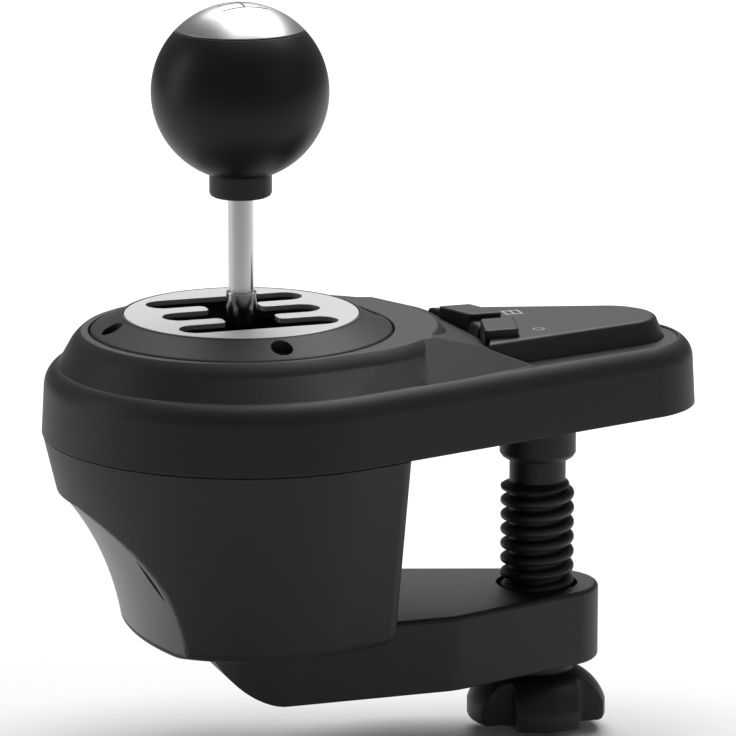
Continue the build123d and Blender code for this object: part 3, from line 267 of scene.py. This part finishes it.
def piece(bm, name, body, finish, stands_for=(), crease=30.0):
    """Makes a finished body an object that rides on a CAD body, smooth below an edge angle."""
    made = stand_in(bm, name)
    made.data.materials.append(finish)
    made.data.shade_smooth()
    made.data.set_sharp_from_angle(angle=radians(crease))
    even = made.modifiers.new("even_shading", "WEIGHTED_NORMAL")
    even.keep_sharp = True
    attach(made, body)
    if stands_for:
        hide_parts(*stands_for)
    return made


def turned(profile, x=lever_x, steps=160):
    """A body of revolution round an upright axis, from its closed section."""
    bm = bmesh.new()
    verts = [bm.verts.new((x + radius, 0, height)) for radius, height in profile]
    edges = [bm.edges.new(pair) for pair in zip(verts, verts[1:] + verts[:1])]
    bmesh.ops.spin(bm, geom=verts + edges, cent=(x, 0, 0), axis=(0, 0, 1), angle=2 * pi, steps=steps,
                   use_merge=True)
    bmesh.ops.remove_doubles(bm, verts=bm.verts, dist=0.000001)
    return bm


def cove_body(shift):
    """All that the hollow takes off the bucket's front, with its wall moved back by a shift."""
    bow = arc_points(cove_lip, cove_middle, cove_end, steps=24)
    wall = [(cove_axis - x, z + shift * cove_fall) for x, z in bow]
    far = cove_axis - cove_front + cove_over
    return turned([(far, wall[0][1]), *wall, (far, wall[-1][1])], cove_axis + shift, steps=256)


def bucket_body(skin):
    """The bucket as a full body. One with a skin taken off all round stands out of its top."""
    bm = bmesh.new()
    low = -bucket_depth + skin
    high = bucket_top + (mouth_over if skin else 0)
    inset = bucket_inset + skin
    stack(bm, [casing_loop(bm, height, inset - bucket_draft * height) for height in (low, high)])
    slice_off(bm, (bucket_back - skin, 0, 0), (1, 0, 0))
    round_edges(bm, upright_at(bm, bucket_back - skin, bucket_depth / 2), back_round)
    return round_edges(bm, rim_at(bm, low), foot_round)


bucket = combine(bucket_body(0), cove_body(0))
bucket = combine(bucket, combine(bucket_body(trim_rim), cove_body(trim_thickness), "INTERSECT"))
bucket = combine(bucket, combine(bucket_body(bucket_wall), cove_body(trim_thickness + bucket_wall)))
piece(bucket, "lower_casing", "casing", black_shell, ["lower_bucket"])


# The trim in the hollow is a thin panel in a lighter satin paint, dropped into a pocket of the
# bucket, with two narrow curved slits.
def dress(finish, *names):
    """Gives carried-over CAD pieces their finish."""
    for name in names:
        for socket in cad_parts[name].material_slots:
            socket.material = finish


dress(moulded("grey_trim", 0.075, 0.36, grain=0.000006, edge=0.0), "front_trim")


# The top casing is one moulding in black plastic, open underneath: an upright wall with a soft
# shoulder, a shallow groove, a raised round island for the gate, and a ramp down to the arm.
casing_wall = 0.0024
wall_start = (0.0008, 0.0142)
wall_bend = (0.0019, 0.0176)
wall_crest = (0.0046, 0.0201)
ledge_inset = 0.0055
ledge_height = 0.0196
groove_edge = [(0.0050, 0.0202), (0.0053, 0.0201), (0.00545, 0.0199), (ledge_inset, ledge_height)]
mouth_flare = 0.00024
mouth_low = -0.001
dome_top = 0.0302
island_front = lever_x - 0.001
island_back = lever_x + 0.0163
island_foot = (0.0562, ledge_height)
island_waist = (0.0496, dome_top - 0.0038)
island_shoulder = (0.0478, dome_top - 0.0014)
island_lip = (0.0462, dome_top)
island_crown = (island_lip[0] - 0.0004, dome_top + 0.00002)
island_taper = 0.004
side_share = 0.41
ramp_plan = [(0.030, 0.0488), (0.048, 0.0435), (0.0802, 0.0298)]
ramp_lean = 0.0138
ramp_flare = 0.0025
ramp_bends = [(0.050, dome_top), (0.0645, dome_top - 0.004), (0.0802, ledge_height)]
gate_hole = 0.045
seat_hole = 0.0336
ring_foot = 0.0265
sink = 0.002
cutter_over = 0.01
slot_low = 0.012


def island_body(skin):
    """The island, from a little under the ledge up to its flat top, lowered by a skin."""
    bm = bmesh.new()
    side_skin = skin * side_share
    slope = (island_foot[0] - island_waist[0]) / (island_waist[1] - island_foot[1])
    side = [(island_foot[0] + sink * slope, ledge_height - sink), island_foot]
    side += arc_points(island_waist, island_shoulder, island_lip, steps=8)
    side.append(island_crown)
    loops = []
    for radius, height in side:
        front = island_front if height > ledge_height else body_x
        size = radius - side_skin
        loops.append(round_loop(bm, height - skin, size, front, size - island_taper, island_back))
    return stack(bm, loops)


def ramp_body(skin):
    """The ramp: a prism with leaning sides, cut by its two slopes."""
    bm = bmesh.new()
    loops = []
    for height, inset in ((ledge_height - sink, -ramp_flare), (dome_top, ramp_lean)):
        near = [(lever_x + x, y - inset - skin) for x, y in ramp_plan]
        corners = near + [(x, -y) for x, y in reversed(near)]
        verts = [bm.verts.new((x, y, height - skin)) for x, y in corners]
        loops.append([bm.edges.new(pair) for pair in zip(verts, verts[1:] + verts[:1])])
    stack(bm, loops)
    for (x1, z1), (x2, z2) in zip(ramp_bends, ramp_bends[1:]):
        slice_off(bm, (lever_x + x1, 0, z1 - skin), (z1 - z2, 0, x2 - x1))
    return bm


def top_body(skin):
    """The top casing as a full body, or with a skin the room that it has inside."""
    bm = bmesh.new()
    shoulder = arc_points(wall_start, wall_bend, wall_crest, steps=8)
    if skin:
        loops = [casing_loop(bm, mouth_low, skin - mouth_flare)]
        loops += [casing_loop(bm, height - skin, inset + skin) for inset, height in shoulder]
    else:
        profile = [(0.0, 0.0), *shoulder, *groove_edge]
        loops = [casing_loop(bm, height, inset) for inset, height in profile]
    walls = stack(bm, loops)
    return combine(combine(walls, island_body(skin), "UNION"), ramp_body(skin), "UNION")


def cylinder(radius, low, high, x=lever_x, y=0.0, steps=96):
    """An upright round bar or cutter."""
    bm = bmesh.new()
    stack(bm, [round_loop(bm, height, radius, x, steps=steps) for height in (low, high)])
    bmesh.ops.translate(bm, verts=bm.verts, vec=(0, y, 0))
    return bm


def raise_by(bm, along):
    """Turns the flat faces of a body into a prism."""
    risen = bmesh.ops.extrude_face_region(bm, geom=bm.faces[:], use_keep_orig=True)["geom"]
    bmesh.ops.translate(bm, vec=along, verts=[part for part in risen if isinstance(part, bmesh.types.BMVert)])
    return bm


def outlined(corners, rounds, low, high, segments=8):
    """An upright prism from a plan's corners, each rounded by its own size, or sharp without one."""
    bm = bmesh.new()
    verts = [bm.verts.new((x, y, low)) for x, y in corners]
    bm.faces.new(verts)
    for vert, size in zip(verts, rounds):
        bmesh.ops.bevel(bm, geom=[vert], offset=size, segments=segments, profile=0.5, affect="VERTICES",
                        material=-1)
    return raise_by(bm, (0, 0, high - low))


button_front = lever_x + 0.0702
button_skew = 0.0026
button_inner = 0.0044
button_play = 0.00025
# A button's length, the bow of its front edge, its outer side and its top.
button_sizes = {1: (0.0102, 0.0026, 0.0186, 0.0284), -1: (0.0106, 0.0016, 0.0204, 0.0289)}


def button_plan(side, grow, ahead=0.0):
    """A button's four corners, grown all round and lengthened ahead."""
    length, bow, outer, top = button_sizes[side]
    corners = [(button_front + button_skew - grow - ahead, side * (button_inner - grow)),
               (button_front + button_skew + length + grow, side * (button_inner - grow)),
               (button_front - bow + length + grow, side * (outer + grow)),
               (button_front - bow - grow - ahead, side * (outer + grow))]
    return corners if side > 0 else corners[::-1]


top = combine(top_body(0), top_body(casing_wall))
top = combine(top, cylinder(gate_hole, ring_foot, dome_top + cutter_over, steps=160))
top = combine(top, cylinder(seat_hole, ledge_height, dome_top, steps=160))
for side in (1, -1):
    top = combine(top, outlined(button_plan(side, button_play), (), slot_low, dome_top))
piece(top, "top_casing", "casing", moulded("black_top", 0.0100, 0.50, edge=0.0007),
      ["upper_shell"], crease=28)


# The ring round the gate is black plastic, turned to a slope of about thirty degrees, with a
# rounded foot. Four screws with black heads, sunk in round wells, pull it down onto the casing.
ring_inner = 0.031
ring_outer = 0.0445
ring_seat = 0.0335
ring_round = [(ring_outer, 0.0299), (0.04444, 0.0301), (0.0443, 0.0303), (0.0441, 0.03048), (0.0438, 0.0307)]
ring_crest = [(0.0358, 0.03455), (0.0354, 0.0348), (0.0352, 0.035), (0.03485, 0.035)]
ring_profile = [(ring_inner, ring_foot), (ring_outer, ring_foot), *ring_round, *ring_crest,
                (ring_crest[-1][0], ring_seat), (ring_inner, ring_seat)]
screw_circle = 0.0394
screw_well = 0.00315
screw_seat = 0.029
well_top = 0.04
ring = turned(ring_profile)
for quarter in range(4):
    well_x = lever_x + screw_circle * cos(quarter * pi / 2)
    well_y = screw_circle * sin(quarter * pi / 2)
    ring = combine(ring, cylinder(screw_well, screw_seat, well_top, well_x, well_y, steps=48))
piece(ring, "ring_cover", "casing", black_shell, ["gate_ring"])


# The gate plate is a satin silver disc with three lanes along the casing, joined by a neutral
# channel. The fingers between the lanes have rounded corners, and every edge is broken.
def worked_metal(name, tone, roughness, stretch=(1, 1, 1), scale=1400.0, depth=0.000003, tint=1.0, edge=0.0):
    """Bare metal with fine tool or blasting marks, a little cloudy in gloss."""
    finish = Finish(name, metallic=1.0)
    marks = finish.noise(scale, 4.0, stretch)
    cloud = finish.noise(scale=60.0, detail=2.0)
    low = (tone * 0.93, tone * 0.93, tone * 0.93 * tint)
    high = (tone, tone, tone * tint)
    finish.set(base_color=finish.between(marks, low, high))
    finish.set(roughness=roughness + 0.06 * cloud + 0.05 * marks)
    finish.relief(marks, depth, edge)
    return finish.material


plate_radius = 0.0347
plate_low = ring_seat
plate_high = 0.035
plate_edge = 0.00035
lane_pitch = 0.0174
lane_half = 0.0054
lane_reach = 0.02395
channel_half = 0.008
finger_round = 0.002
full_round = 0.995


def lane_corners():
    """The cut-out's corners with their rounds, up the right side and then down the left."""
    right = []
    for lane in (-1, 0, 1):
        low = lane * lane_pitch - lane_half
        high = lane * lane_pitch + lane_half
        if lane > -1:
            right.append((channel_half, low, finger_round))
        right += [(lane_reach, low, lane_half), (lane_reach, high, lane_half)]
        if lane < 1:
            right.append((channel_half, high, finger_round))
    return right + [(-x, y, size) for x, y, size in reversed(right)]


def lane_cutter(low, high):
    """An upright cutter in the shape of the three lanes and their channel."""
    corners = lane_corners()
    plan = [(lever_x + x, y) for x, y, size in corners]
    return outlined(plan, [size * full_round for x, y, size in corners], low, high)


blank = bmesh.new()
plate = stack(blank, [round_loop(blank, height, radius, lever_x) for radius, height in
                      ((plate_radius, plate_low), (plate_radius, plate_high - plate_edge),
                       (plate_radius - plate_edge, plate_high))])
plate = combine(plate, lane_cutter(plate_low - sink, plate_high + sink))
piece(plate, "lane_plate", "casing", worked_metal("satin_plate", 0.46, 0.40, edge=0.0003),
      ["gate_plate"])


# All the screws, and the four bolts that hold the clamp's arm under the bucket, are steel with a
# black plating. Their heads have cross recesses.
dress(worked_metal("black_screw", 0.09, 0.32), "gate_screws", "casing_screws", "cover_screws", "panel_screws",
      "button_board_screws", "main_board_screws", "frame_screws", "arm_bolts")


# The button panel is a raised black moulding on the arm, with a bowed front edge and a round
# tip. The two buttons break through its front edge. Screws hold it from inside.
panel_tip = 0.0132
panel_tip_x = 0.0232
panel_tip_lean = 0.0015
panel_slope = 0.27
panel_front = lever_x + 0.0729
panel_bow = 0.0052
panel_high = 0.0263
panel_spread = 0.0016
panel_profile = [(0.00151, ledge_height), (0.0002, 0.0254), (0.00005, 0.0258), (-0.0002, 0.0261),
                 (-0.0006, 0.02628), (-0.001, panel_high)]
slot_ahead = 0.008
black_panel = moulded("black_panel", 0.0110, 0.44, grain=0.000008, edge=0.0005)


def panel_loop(bm, height, spread):
    """The panel's outline at one height: a bowed front, two leaning sides and a round tip."""
    size = panel_tip + spread
    middle = panel_tip_x + panel_tip_lean * spread / panel_spread
    reach = sqrt(1 + panel_slope ** 2)
    tip = (middle + size * panel_slope / reach, size / reach)
    front = panel_front - spread
    corner = (front - panel_bow, tip[1] + (tip[0] - front + panel_bow) * panel_slope)
    points = arc_points((corner[0], -corner[1]), (front, 0), corner, steps=24)
    points += arc_points(tip, (middle + size, 0), (tip[0], -tip[1]), steps=28)
    verts = [bm.verts.new((x, y, height)) for x, y in points]
    return [bm.edges.new(pair) for pair in zip(verts, verts[1:] + verts[:1])]


blank = bmesh.new()
panel = stack(blank, [panel_loop(blank, height, spread) for spread, height in panel_profile])
panel = combine(panel, ramp_body(0))
for side in (1, -1):
    panel = combine(panel, outlined(button_plan(side, button_play, slot_ahead), (), slot_low, dome_top))
piece(panel, "arm_panel", "casing", black_panel, ["button_panel"], crease=26)


# Beside each button a plain printed mark says what it does: a small grid of bars by the far one and
# a small ring by the near one. The panel's outer half is bare.
mark_finish = moulded("pale_print", 0.42, 0.55, grain=0.000002, edge=0.0)
mark_high = panel_high + 0.00004
mark_low = panel_high - 0.0001
mark_skin = mark_high - mark_low
mark_middle = (mark_high + mark_low) / 2
grid_x = -0.0042
grid_y = 0.0118
bar_step = 0.0024
bar_half = 0.0003
bar_reach = 0.0029
rung_step = 0.0023
rung_length = 0.0054
rung_thinner = 0.00001
rung_lower = 0.000002
ring_mark_place = (-0.0045, -0.0122)
ring_mark_inner = 0.0014
ring_mark_outer = 0.0018


def print_bar(bm, size, place):
    """A straight bar of print, which stands out of the panel by a hair."""
    verts = bmesh.ops.create_cube(bm, size=1)["verts"]
    bmesh.ops.scale(bm, verts=verts, vec=size)
    bmesh.ops.translate(bm, verts=verts, vec=place)


marks = bmesh.new()
bar_size = (2 * bar_half, 2 * bar_reach, mark_skin)
for step in (-1, 0, 1):
    print_bar(marks, bar_size, (grid_x + step * bar_step, grid_y, mark_middle))
rung_size = (rung_length, 2 * bar_half, mark_skin - rung_thinner)
for step in (-1, 1):
    print_bar(marks, rung_size, (grid_x, grid_y + step * rung_step, mark_middle - rung_lower))
piece(marks, "range_mark", "casing", mark_finish)
marks = turned([(ring_mark_inner, mark_low), (ring_mark_outer, mark_low), (ring_mark_outer, mark_high),
                (ring_mark_inner, mark_high)], x=0.0, steps=48)
bmesh.ops.translate(marks, verts=marks.verts, vec=(*ring_mark_place, 0))
piece(marks, "mode_mark", "casing", mark_finish)


# Two push buttons stand two to three millimetres proud of the panel, in the same black plastic.
# Each is held by a flange under the panel and pushes a switch on the board below.
button_low = 0.0200
button_round = 0.0009
button_edge = 0.0006
for side, name, node, body in ((1, "range_cap", "range_button", "range_key"),
                               (-1, "mode_cap", "mode_button", "mode_key")):
    button_high = button_sizes[side][3]
    cap = outlined(button_plan(side, 0), [button_round] * 4, button_low, button_high, segments=4)
    round_edges(cap, rim_at(cap, button_high), button_edge, segments=3)
    piece(cap, name, body, black_panel, [node])


# The grip is a smooth black ball with a satin silver cap let into its top and a short collar
# below, screwed onto the rod by a brass insert. The cap is a slice of the same sphere, set off by
# a narrow dark seam.
ball_radius = 0.026
ball_centre = Vector((lever_x, 0, 0.1007))
cap_rise = 0.0179
cap_gap = 0.00035
cap_neck = sqrt(ball_radius ** 2 - cap_rise ** 2) - 0.0015
neck_foot = ball_centre.z + cap_rise - 0.003
neck_length = 0.0035
neck_play = 0.0001
above_ball = 0.14
collar_radius = 0.0092
collar_low = 0.06978
collar_high = 0.07748
collar_edge = 0.0012
collar_break = 0.0004
rod_radius = 0.00385
ball_drop = sqrt(ball_radius ** 2 - collar_radius ** 2)


def ball_slice(low, high):
    """The part of the ball between two heights from its centre, closed with flat ends."""
    bm = bmesh.new()
    bmesh.ops.create_uvsphere(bm, u_segments=128, v_segments=96, radius=ball_radius)
    slice_off(bm, (0, 0, high), (0, 0, 1))
    slice_off(bm, (0, 0, low), (0, 0, -1))
    bmesh.ops.translate(bm, verts=bm.verts, vec=ball_centre)
    return bm


ball = combine(ball_slice(-ball_drop, cap_rise), cylinder(cap_neck, neck_foot, above_ball, steps=128))
piece(ball, "grip_ball", "knob",
      moulded("black_ball", 0.0050, 0.40, grain=0.000002, edge=0.0003, gloss=0.3), ["knob_ball"])
cap = combine(ball_slice(cap_rise + cap_gap, ball_radius * 2),
              cylinder(cap_neck - neck_play, neck_foot, neck_foot + neck_length, steps=128), "UNION")
piece(cap, "grip_cap", "knob", worked_metal("satin_cap", 0.50, 0.30, edge=0.0003), ["knob_cap"])
collar = turned([(rod_radius, collar_low), (collar_radius - collar_edge, collar_low),
                 (collar_radius - collar_break, collar_low + collar_break),
                 (collar_radius, collar_low + collar_edge), (collar_radius, collar_high),
                 (rod_radius, collar_high)], steps=96)
piece(collar, "grip_collar", "knob", black_panel, ["knob_collar"])


# The cap carries a plain lane diagram, printed in dark ink on its curved top: three short lanes
# that a channel joins.
lane_step = 0.0052
lane_print_reach = 0.0068
print_half = 0.00035
print_rise = 0.00003
print_depth = 0.0001
print_low = ball_centre.z + cap_rise + 0.002


def whole_ball(grow):
    """The grip's sphere, a little larger or smaller."""
    bm = bmesh.new()
    bmesh.ops.create_uvsphere(bm, u_segments=128, v_segments=96, radius=ball_radius + grow)
    bmesh.ops.translate(bm, verts=bm.verts, vec=ball_centre)
    return bm


prints = [((lane * lane_step, 0), (print_half, lane_print_reach)) for lane in (-1, 0, 1)]
prints.append(((0, 0), (lane_step, print_half)))
diagram = None
for (x, y), (half_x, half_y) in prints:
    corners = [(lever_x + y - half_y, x - half_x), (lever_x + y + half_y, x - half_x),
               (lever_x + y + half_y, x + half_x), (lever_x + y - half_y, x + half_x)]
    bar = outlined(corners, (), print_low, above_ball)
    diagram = bar if diagram is None else combine(diagram, bar, "UNION")
diagram = combine(combine(diagram, whole_ball(print_rise), "INTERSECT"), whole_ball(-print_depth))
piece(diagram, "cap_diagram", "knob",
      moulded("dark_print", 0.012, 0.5, grain=0.000001, edge=0.0))


# The lever is a chromed steel rod that slides in a chromed sleeve with a rolled upper rim. The
# sleeve is pressed into the pivot block, and a spring under the rod brings the grip back up.
bright_chrome = worked_metal("bright_chrome", 0.62, 0.06, stretch=(1, 1, 0.2), scale=900.0, depth=0.0000006)
rod_low = -0.005
stud_radius = 0.003
stud_low = collar_high - 0.001
stud_high = 0.0934
sleeve_radius = 0.004535
sleeve_bore = rod_radius + 0.00005
sleeve_low = -0.021
sleeve_top = 0.0414
sleeve_rim = [(sleeve_radius, sleeve_top - 0.0003), (sleeve_radius - 0.0001, sleeve_top - 0.00008),
              (sleeve_radius - 0.0003, sleeve_top)]
rod = cylinder(rod_radius, rod_low, collar_high, steps=96)
rod = combine(rod, cylinder(stud_radius, stud_low, stud_high, steps=48), "UNION")
piece(rod, "chrome_rod", "knob", bright_chrome, ["lever_rod"])
sleeve = turned([(sleeve_bore, sleeve_low), (sleeve_radius, sleeve_low), *sleeve_rim,
                 (sleeve_bore, sleeve_top)], steps=96)
piece(sleeve, "chrome_sleeve", "lever", bright_chrome, ["lever_sleeve"])


# Inside, cast and blasted metal carries the lever: a frame on the bucket's floor, a yoke that tilts
# sideways in it and a block that tilts forward and back in the yoke, on pins, axle and brass bushes.
dress(worked_metal("cast_frame", 0.40, 0.42, depth=0.00001), "pivot_frame", "side_yoke", "pivot_block")
dress(worked_metal("turned_brass", 0.60, 0.28, tint=0.45), "frame_bushes", "yoke_bushes", "knob_insert")
dress(worked_metal("plain_steel", 0.55, 0.28), "shift_axle", "side_pins", "detent_pin", "detent_spring",
      "reverse_spring", "centring_springs", "pad_clip", "shift_magnet", "side_magnet", "cable_socket")
dress(moulded("white_slider", 0.60, 0.45, grain=0.000006, edge=0.0), "detent_cam")


# The boards are green laminate. The switches on them, their plungers and the ribbon cable are
# plain black plastic.
board_green = Finish("board_green", specular_ior_level=0.5)
weave = board_green.noise(scale=900.0, detail=2.0)
board_green.set(base_color=board_green.between(weave, (0.01, 0.09, 0.04), (0.015, 0.12, 0.055)),
                roughness=0.32 + 0.1 * weave)
board_green.relief(weave, depth=0.00001)
dress(board_green.material, "main_board", "button_board", "side_sensor_board", "shift_sensor_board")
dress(moulded("black_switch", 0.02, 0.45, grain=0.000004, edge=0.0), "button_switches", "range_plunger",
      "mode_plunger", "ribbon_cable")


# A flat cover closes the arm from below, held by its own screws. A ribbed rubber sheet set into it
# lies on the desk.
dress(black_shell, "arm_cover")
rubber = Finish("black_rubber", specular_ior_level=0.25)
ribs = rubber.node("ShaderNodeTexWave", {"bands_direction": "X"}, {"Vector": rubber.place, "Scale": 160.0})
dust = rubber.noise(scale=220.0, detail=4.0)
rubber.set(base_color=rubber.between(dust, grey(0.010), grey(0.018)), roughness=0.74 + 0.12 * dust)
rubber.relief(ribs, depth=0.0002)
dress(rubber.material, "desk_pad", "pad_face")


# The lower arm of the clamp is one thick black moulding, bolted up under the bucket. It narrows
# from the bucket to a round tip, where a plain hole lets the clamp screw through.
black_clamp = moulded("black_clamp", 0.0100, 0.48, edge=0.0005)
seam = 0.0003
jaw_top = -0.055
jaw_foot = -0.0779
jaw_half = 0.0293
jaw_tip = 0.0156
jaw_tip_x = 0.0033
jaw_knee = -0.036
jaw_knee_round = 0.003
jaw_front = -0.109
jaw_front_round = 0.022
jaw_top_edge = 0.0016
jaw_foot_edge = 0.0008
toe_bend = (-0.1035, -bucket_depth - 0.0112)
toe_end = -0.088
toe_over = 0.004
screw_hole = 0.0123
nut_bore = 0.013
nut_shelf = jaw_top - 0.005
bolt_well = 0.00455
bolt_seat = jaw_foot + 0.0046
bolt_places = [(x, y) for x in (-0.088, -0.068) for y in (0.018, -0.018)]
jaw_end = jaw_tip_x + jaw_tip
knee_reach = hypot(jaw_tip_x - jaw_knee, jaw_half)
jaw_lean = atan2(jaw_half, jaw_tip_x - jaw_knee) - asin(jaw_tip / knee_reach)
jaw_end_half = jaw_tip * (1 - sin(jaw_lean)) / cos(jaw_lean)


def across(points, half_width=0.08):
    """A closed body from a profile in X and Z, as wide as asked on both sides."""
    bm = bmesh.new()
    bm.faces.new([bm.verts.new((x, -half_width, z)) for x, z in points])
    return raise_by(bm, (0, 2 * half_width, 0))


jaw_near = [(jaw_front, -jaw_half), (jaw_knee, -jaw_half), (jaw_end, -jaw_end_half)]
jaw_corners = jaw_near + [(x, -y) for x, y in reversed(jaw_near)]
jaw_rounds = [jaw_front_round, jaw_knee_round, jaw_end_half * 0.97]
jaw = outlined(jaw_corners, jaw_rounds + jaw_rounds[::-1], jaw_foot, jaw_top, segments=12)
round_edges(jaw, rim_at(jaw, jaw_top), jaw_top_edge, segments=4)
round_edges(jaw, rim_at(jaw, jaw_foot), jaw_foot_edge, segments=3)
toe = arc_points((jaw_front, -bucket_depth), toe_bend, (toe_end, jaw_foot), steps=16)
jaw = combine(jaw, across(toe + [(toe_end, jaw_foot - toe_over), (jaw_front - toe_over, jaw_foot - toe_over),
                                 (jaw_front - toe_over, -bucket_depth)]))
seat = [(jaw_front - cutter_over, -bucket_depth - seam), (bucket_back + seam, -bucket_depth - seam),
        (bucket_back + seam, 0.0), (jaw_front - cutter_over, 0.0)]
jaw = combine(jaw, across(seat))
jaw = combine(jaw, cylinder(screw_hole, jaw_foot - sink, 0.0, x=0.0, steps=72))
jaw = combine(jaw, cylinder(nut_bore, jaw_foot - sink, nut_shelf, x=0.0, steps=72))
for bolt_x, bolt_y in bolt_places:
    jaw = combine(jaw, cylinder(bolt_well, jaw_foot - sink, bolt_seat, bolt_x, bolt_y, steps=40))
piece(jaw, "clamp_jaw", "casing", black_clamp, ["clamp_arm"])
dress(black_clamp, "clamp_nut")


# The clamp screw is a black plastic stem with a round-topped thread that fades out at its top. It
# turns in a sleeve in the lower arm.
core_radius = 0.0085
stem_low = jaw_foot - 0.013
stem_high = -0.0062
thread_radius = 0.0112
thread_pitch = 0.0045
ridge_radius = 0.00155
thread_low = jaw_foot + ridge_radius
thread_turns = 12
turn_steps = 48
fade_start = thread_low + thread_pitch * (thread_turns - 0.5)
fade_radius = core_radius - 0.001
fade_most = 0.9


def thread_body():
    """One round ridge wound up the stem, drawn into it over the last half turn."""
    bm = bmesh.new()
    profile = bmesh.ops.create_circle(bm, radius=ridge_radius, segments=14)["verts"]
    upright = Matrix.Rotation(pi / 2, 3, "X")
    for vert in profile:
        vert.co = upright @ vert.co + Vector((thread_radius - ridge_radius, 0, thread_low))
    bmesh.ops.contextual_create(bm, geom=list({edge for vert in profile for edge in vert.link_edges}))
    bmesh.ops.spin(bm, geom=bm.faces[:], cent=(0, 0, 0), axis=(0, 0, 1), angle=2 * pi * thread_turns,
                   steps=turn_steps * thread_turns, dvec=(0, 0, thread_pitch / turn_steps))
    for vert in bm.verts:
        out = hypot(vert.co.x, vert.co.y)
        share = min(max((vert.co.z - fade_start) / (thread_pitch / 2), 0), 1) * fade_most
        if out > fade_radius:
            keep = 1 - share * (out - fade_radius) / out
            vert.co.x *= keep
            vert.co.y *= keep
    return bm


stem = combine(cylinder(core_radius, stem_low, stem_high, x=0.0, steps=72), thread_body(), "UNION")
piece(stem, "threaded_stem", "screw", black_clamp, ["clamp_screw"], crease=50)


# The pad on the screw's top end is a short round foot in black plastic with a rubber face. A snap
# ring keeps it on the screw, which turns in it.
pad_radius = 0.0115
pad_low = -0.016
pad_high = -0.0018
pad_edge = 0.0018
pad_break = 0.0007
pad_bore = 0.00855
pad_bore_top = -0.006
pad_eye = 0.0005
pad = turned([(pad_bore, pad_low), (pad_radius - pad_edge, pad_low),
              (pad_radius - pad_break, pad_low + pad_break), (pad_radius, pad_low + pad_edge),
              (pad_radius, pad_high), (pad_eye, pad_high), (pad_eye, pad_bore_top),
              (pad_bore, pad_bore_top)], x=0.0, steps=96)
piece(pad, "jaw_pad", "pad", black_clamp, ["clamp_pad"])


# The knob at the screw's foot is a cross of four wide lobes in black plastic, domed towards its
# neck and pushed onto the screw.
knob_radius = 0.021
lobe_half = 0.0097
lobe_over = 0.001
valley_round = 0.003
lobe_round = 0.005
knob_turn = radians(-7.5)
knob_edge = 0.0012
neck_high = jaw_foot - seam
neck_radius = 0.011
neck_sink = 0.003
dome_high = neck_high - 0.0032
dome_drop = 0.010
dome_low = dome_high - dome_drop
dome_shoulder = (neck_radius + 0.0062, dome_high - dome_drop * 3 / 8)
knob_foot = dome_low - 0.0054
black_knob = moulded("black_knob", 0.0100, 0.46, edge=0.0011)
quarter_corners = [(knob_radius + lobe_over, -lobe_half, lobe_round),
                   (knob_radius + lobe_over, lobe_half, lobe_round), (lobe_half, lobe_half, valley_round)]
knob_corners = []
for quarter in range(4):
    turn = Matrix.Rotation(quarter * pi / 2, 2)
    knob_corners += [(*(turn @ Vector((x, y))), size) for x, y, size in quarter_corners]
star = outlined([(x, y) for x, y, size in knob_corners], [size for x, y, size in knob_corners],
                knob_foot - lobe_over, dome_high + lobe_over)
dome = [(0, knob_foot), (knob_radius - knob_edge, knob_foot),
        (knob_radius - knob_edge * 0.3, knob_foot + knob_edge * 0.3), (knob_radius, knob_foot + knob_edge)]
dome += arc_points((knob_radius, dome_low), dome_shoulder, (neck_radius, dome_high), steps=16)
star = combine(star, turned(dome + [(0, dome_high)], x=0.0, steps=128), "INTERSECT")
star = combine(star, cylinder(neck_radius, dome_high - neck_sink, neck_high, x=0.0), "UNION")
bmesh.ops.rotate(star, verts=star.verts, cent=(0, 0, 0), matrix=Matrix.Rotation(knob_turn, 3, "Z"))
piece(star, "star_knob", "screw", black_knob, ["clamp_knob"])


# A plain pale floor and soft studio light: a large soft box over the floor, a small key from the
# right and a strip from the left rear, in a dim white room.
floor_half = 6.0
floor_drop = 0.004
room_light = 0.2
floor_mesh = bmesh.new()
bmesh.ops.create_grid(floor_mesh, x_segments=1, y_segments=1, size=floor_half)
bmesh.ops.translate(floor_mesh, verts=floor_mesh.verts, vec=(0, 0, knob_foot - floor_drop))
floor = stand_in(floor_mesh, "floor")
floor_finish = Finish("pale_floor", roughness=0.9)
floor_finish.set(base_color=floor_finish.between(floor_finish.noise(scale=6.0), grey(0.9), grey(0.93)))
floor.data.materials.append(floor_finish.material)

world = bpy.data.worlds.new("studio")
world.use_nodes = True
background = world.node_tree.nodes["Background"]
background.inputs["Color"].default_value = (1, 1, 1, 1)
background.inputs["Strength"].default_value = room_light
bpy.context.scene.world = world


def soft_box(name, place, aim, width, height, power):
    """A rectangular studio light at a place, turned to what it lights."""
    data = bpy.data.lights.new(name, "AREA")
    data.shape = "RECTANGLE"
    data.size = width
    data.size_y = height
    data.energy = power
    light = bpy.data.objects.new(name, data)
    light.location = place
    light.rotation_euler = (Vector(aim) - Vector(place)).to_track_quat("-Z", "Y").to_euler()
    bpy.context.scene.collection.objects.link(light)


shifter_middle = (-0.05, 0, 0)
soft_box("overhead", (0.35, 0.95, 1.2), (0.35, 0.95, 0), width=1.2, height=2.1, power=34)
soft_box("key", (0.9, -1.1, 0.7), shifter_middle, width=0.6, height=0.6, power=0.5)
soft_box("strip", (-1.2, 0.4, 0.4), shifter_middle, width=0.3, height=0.9, power=2)
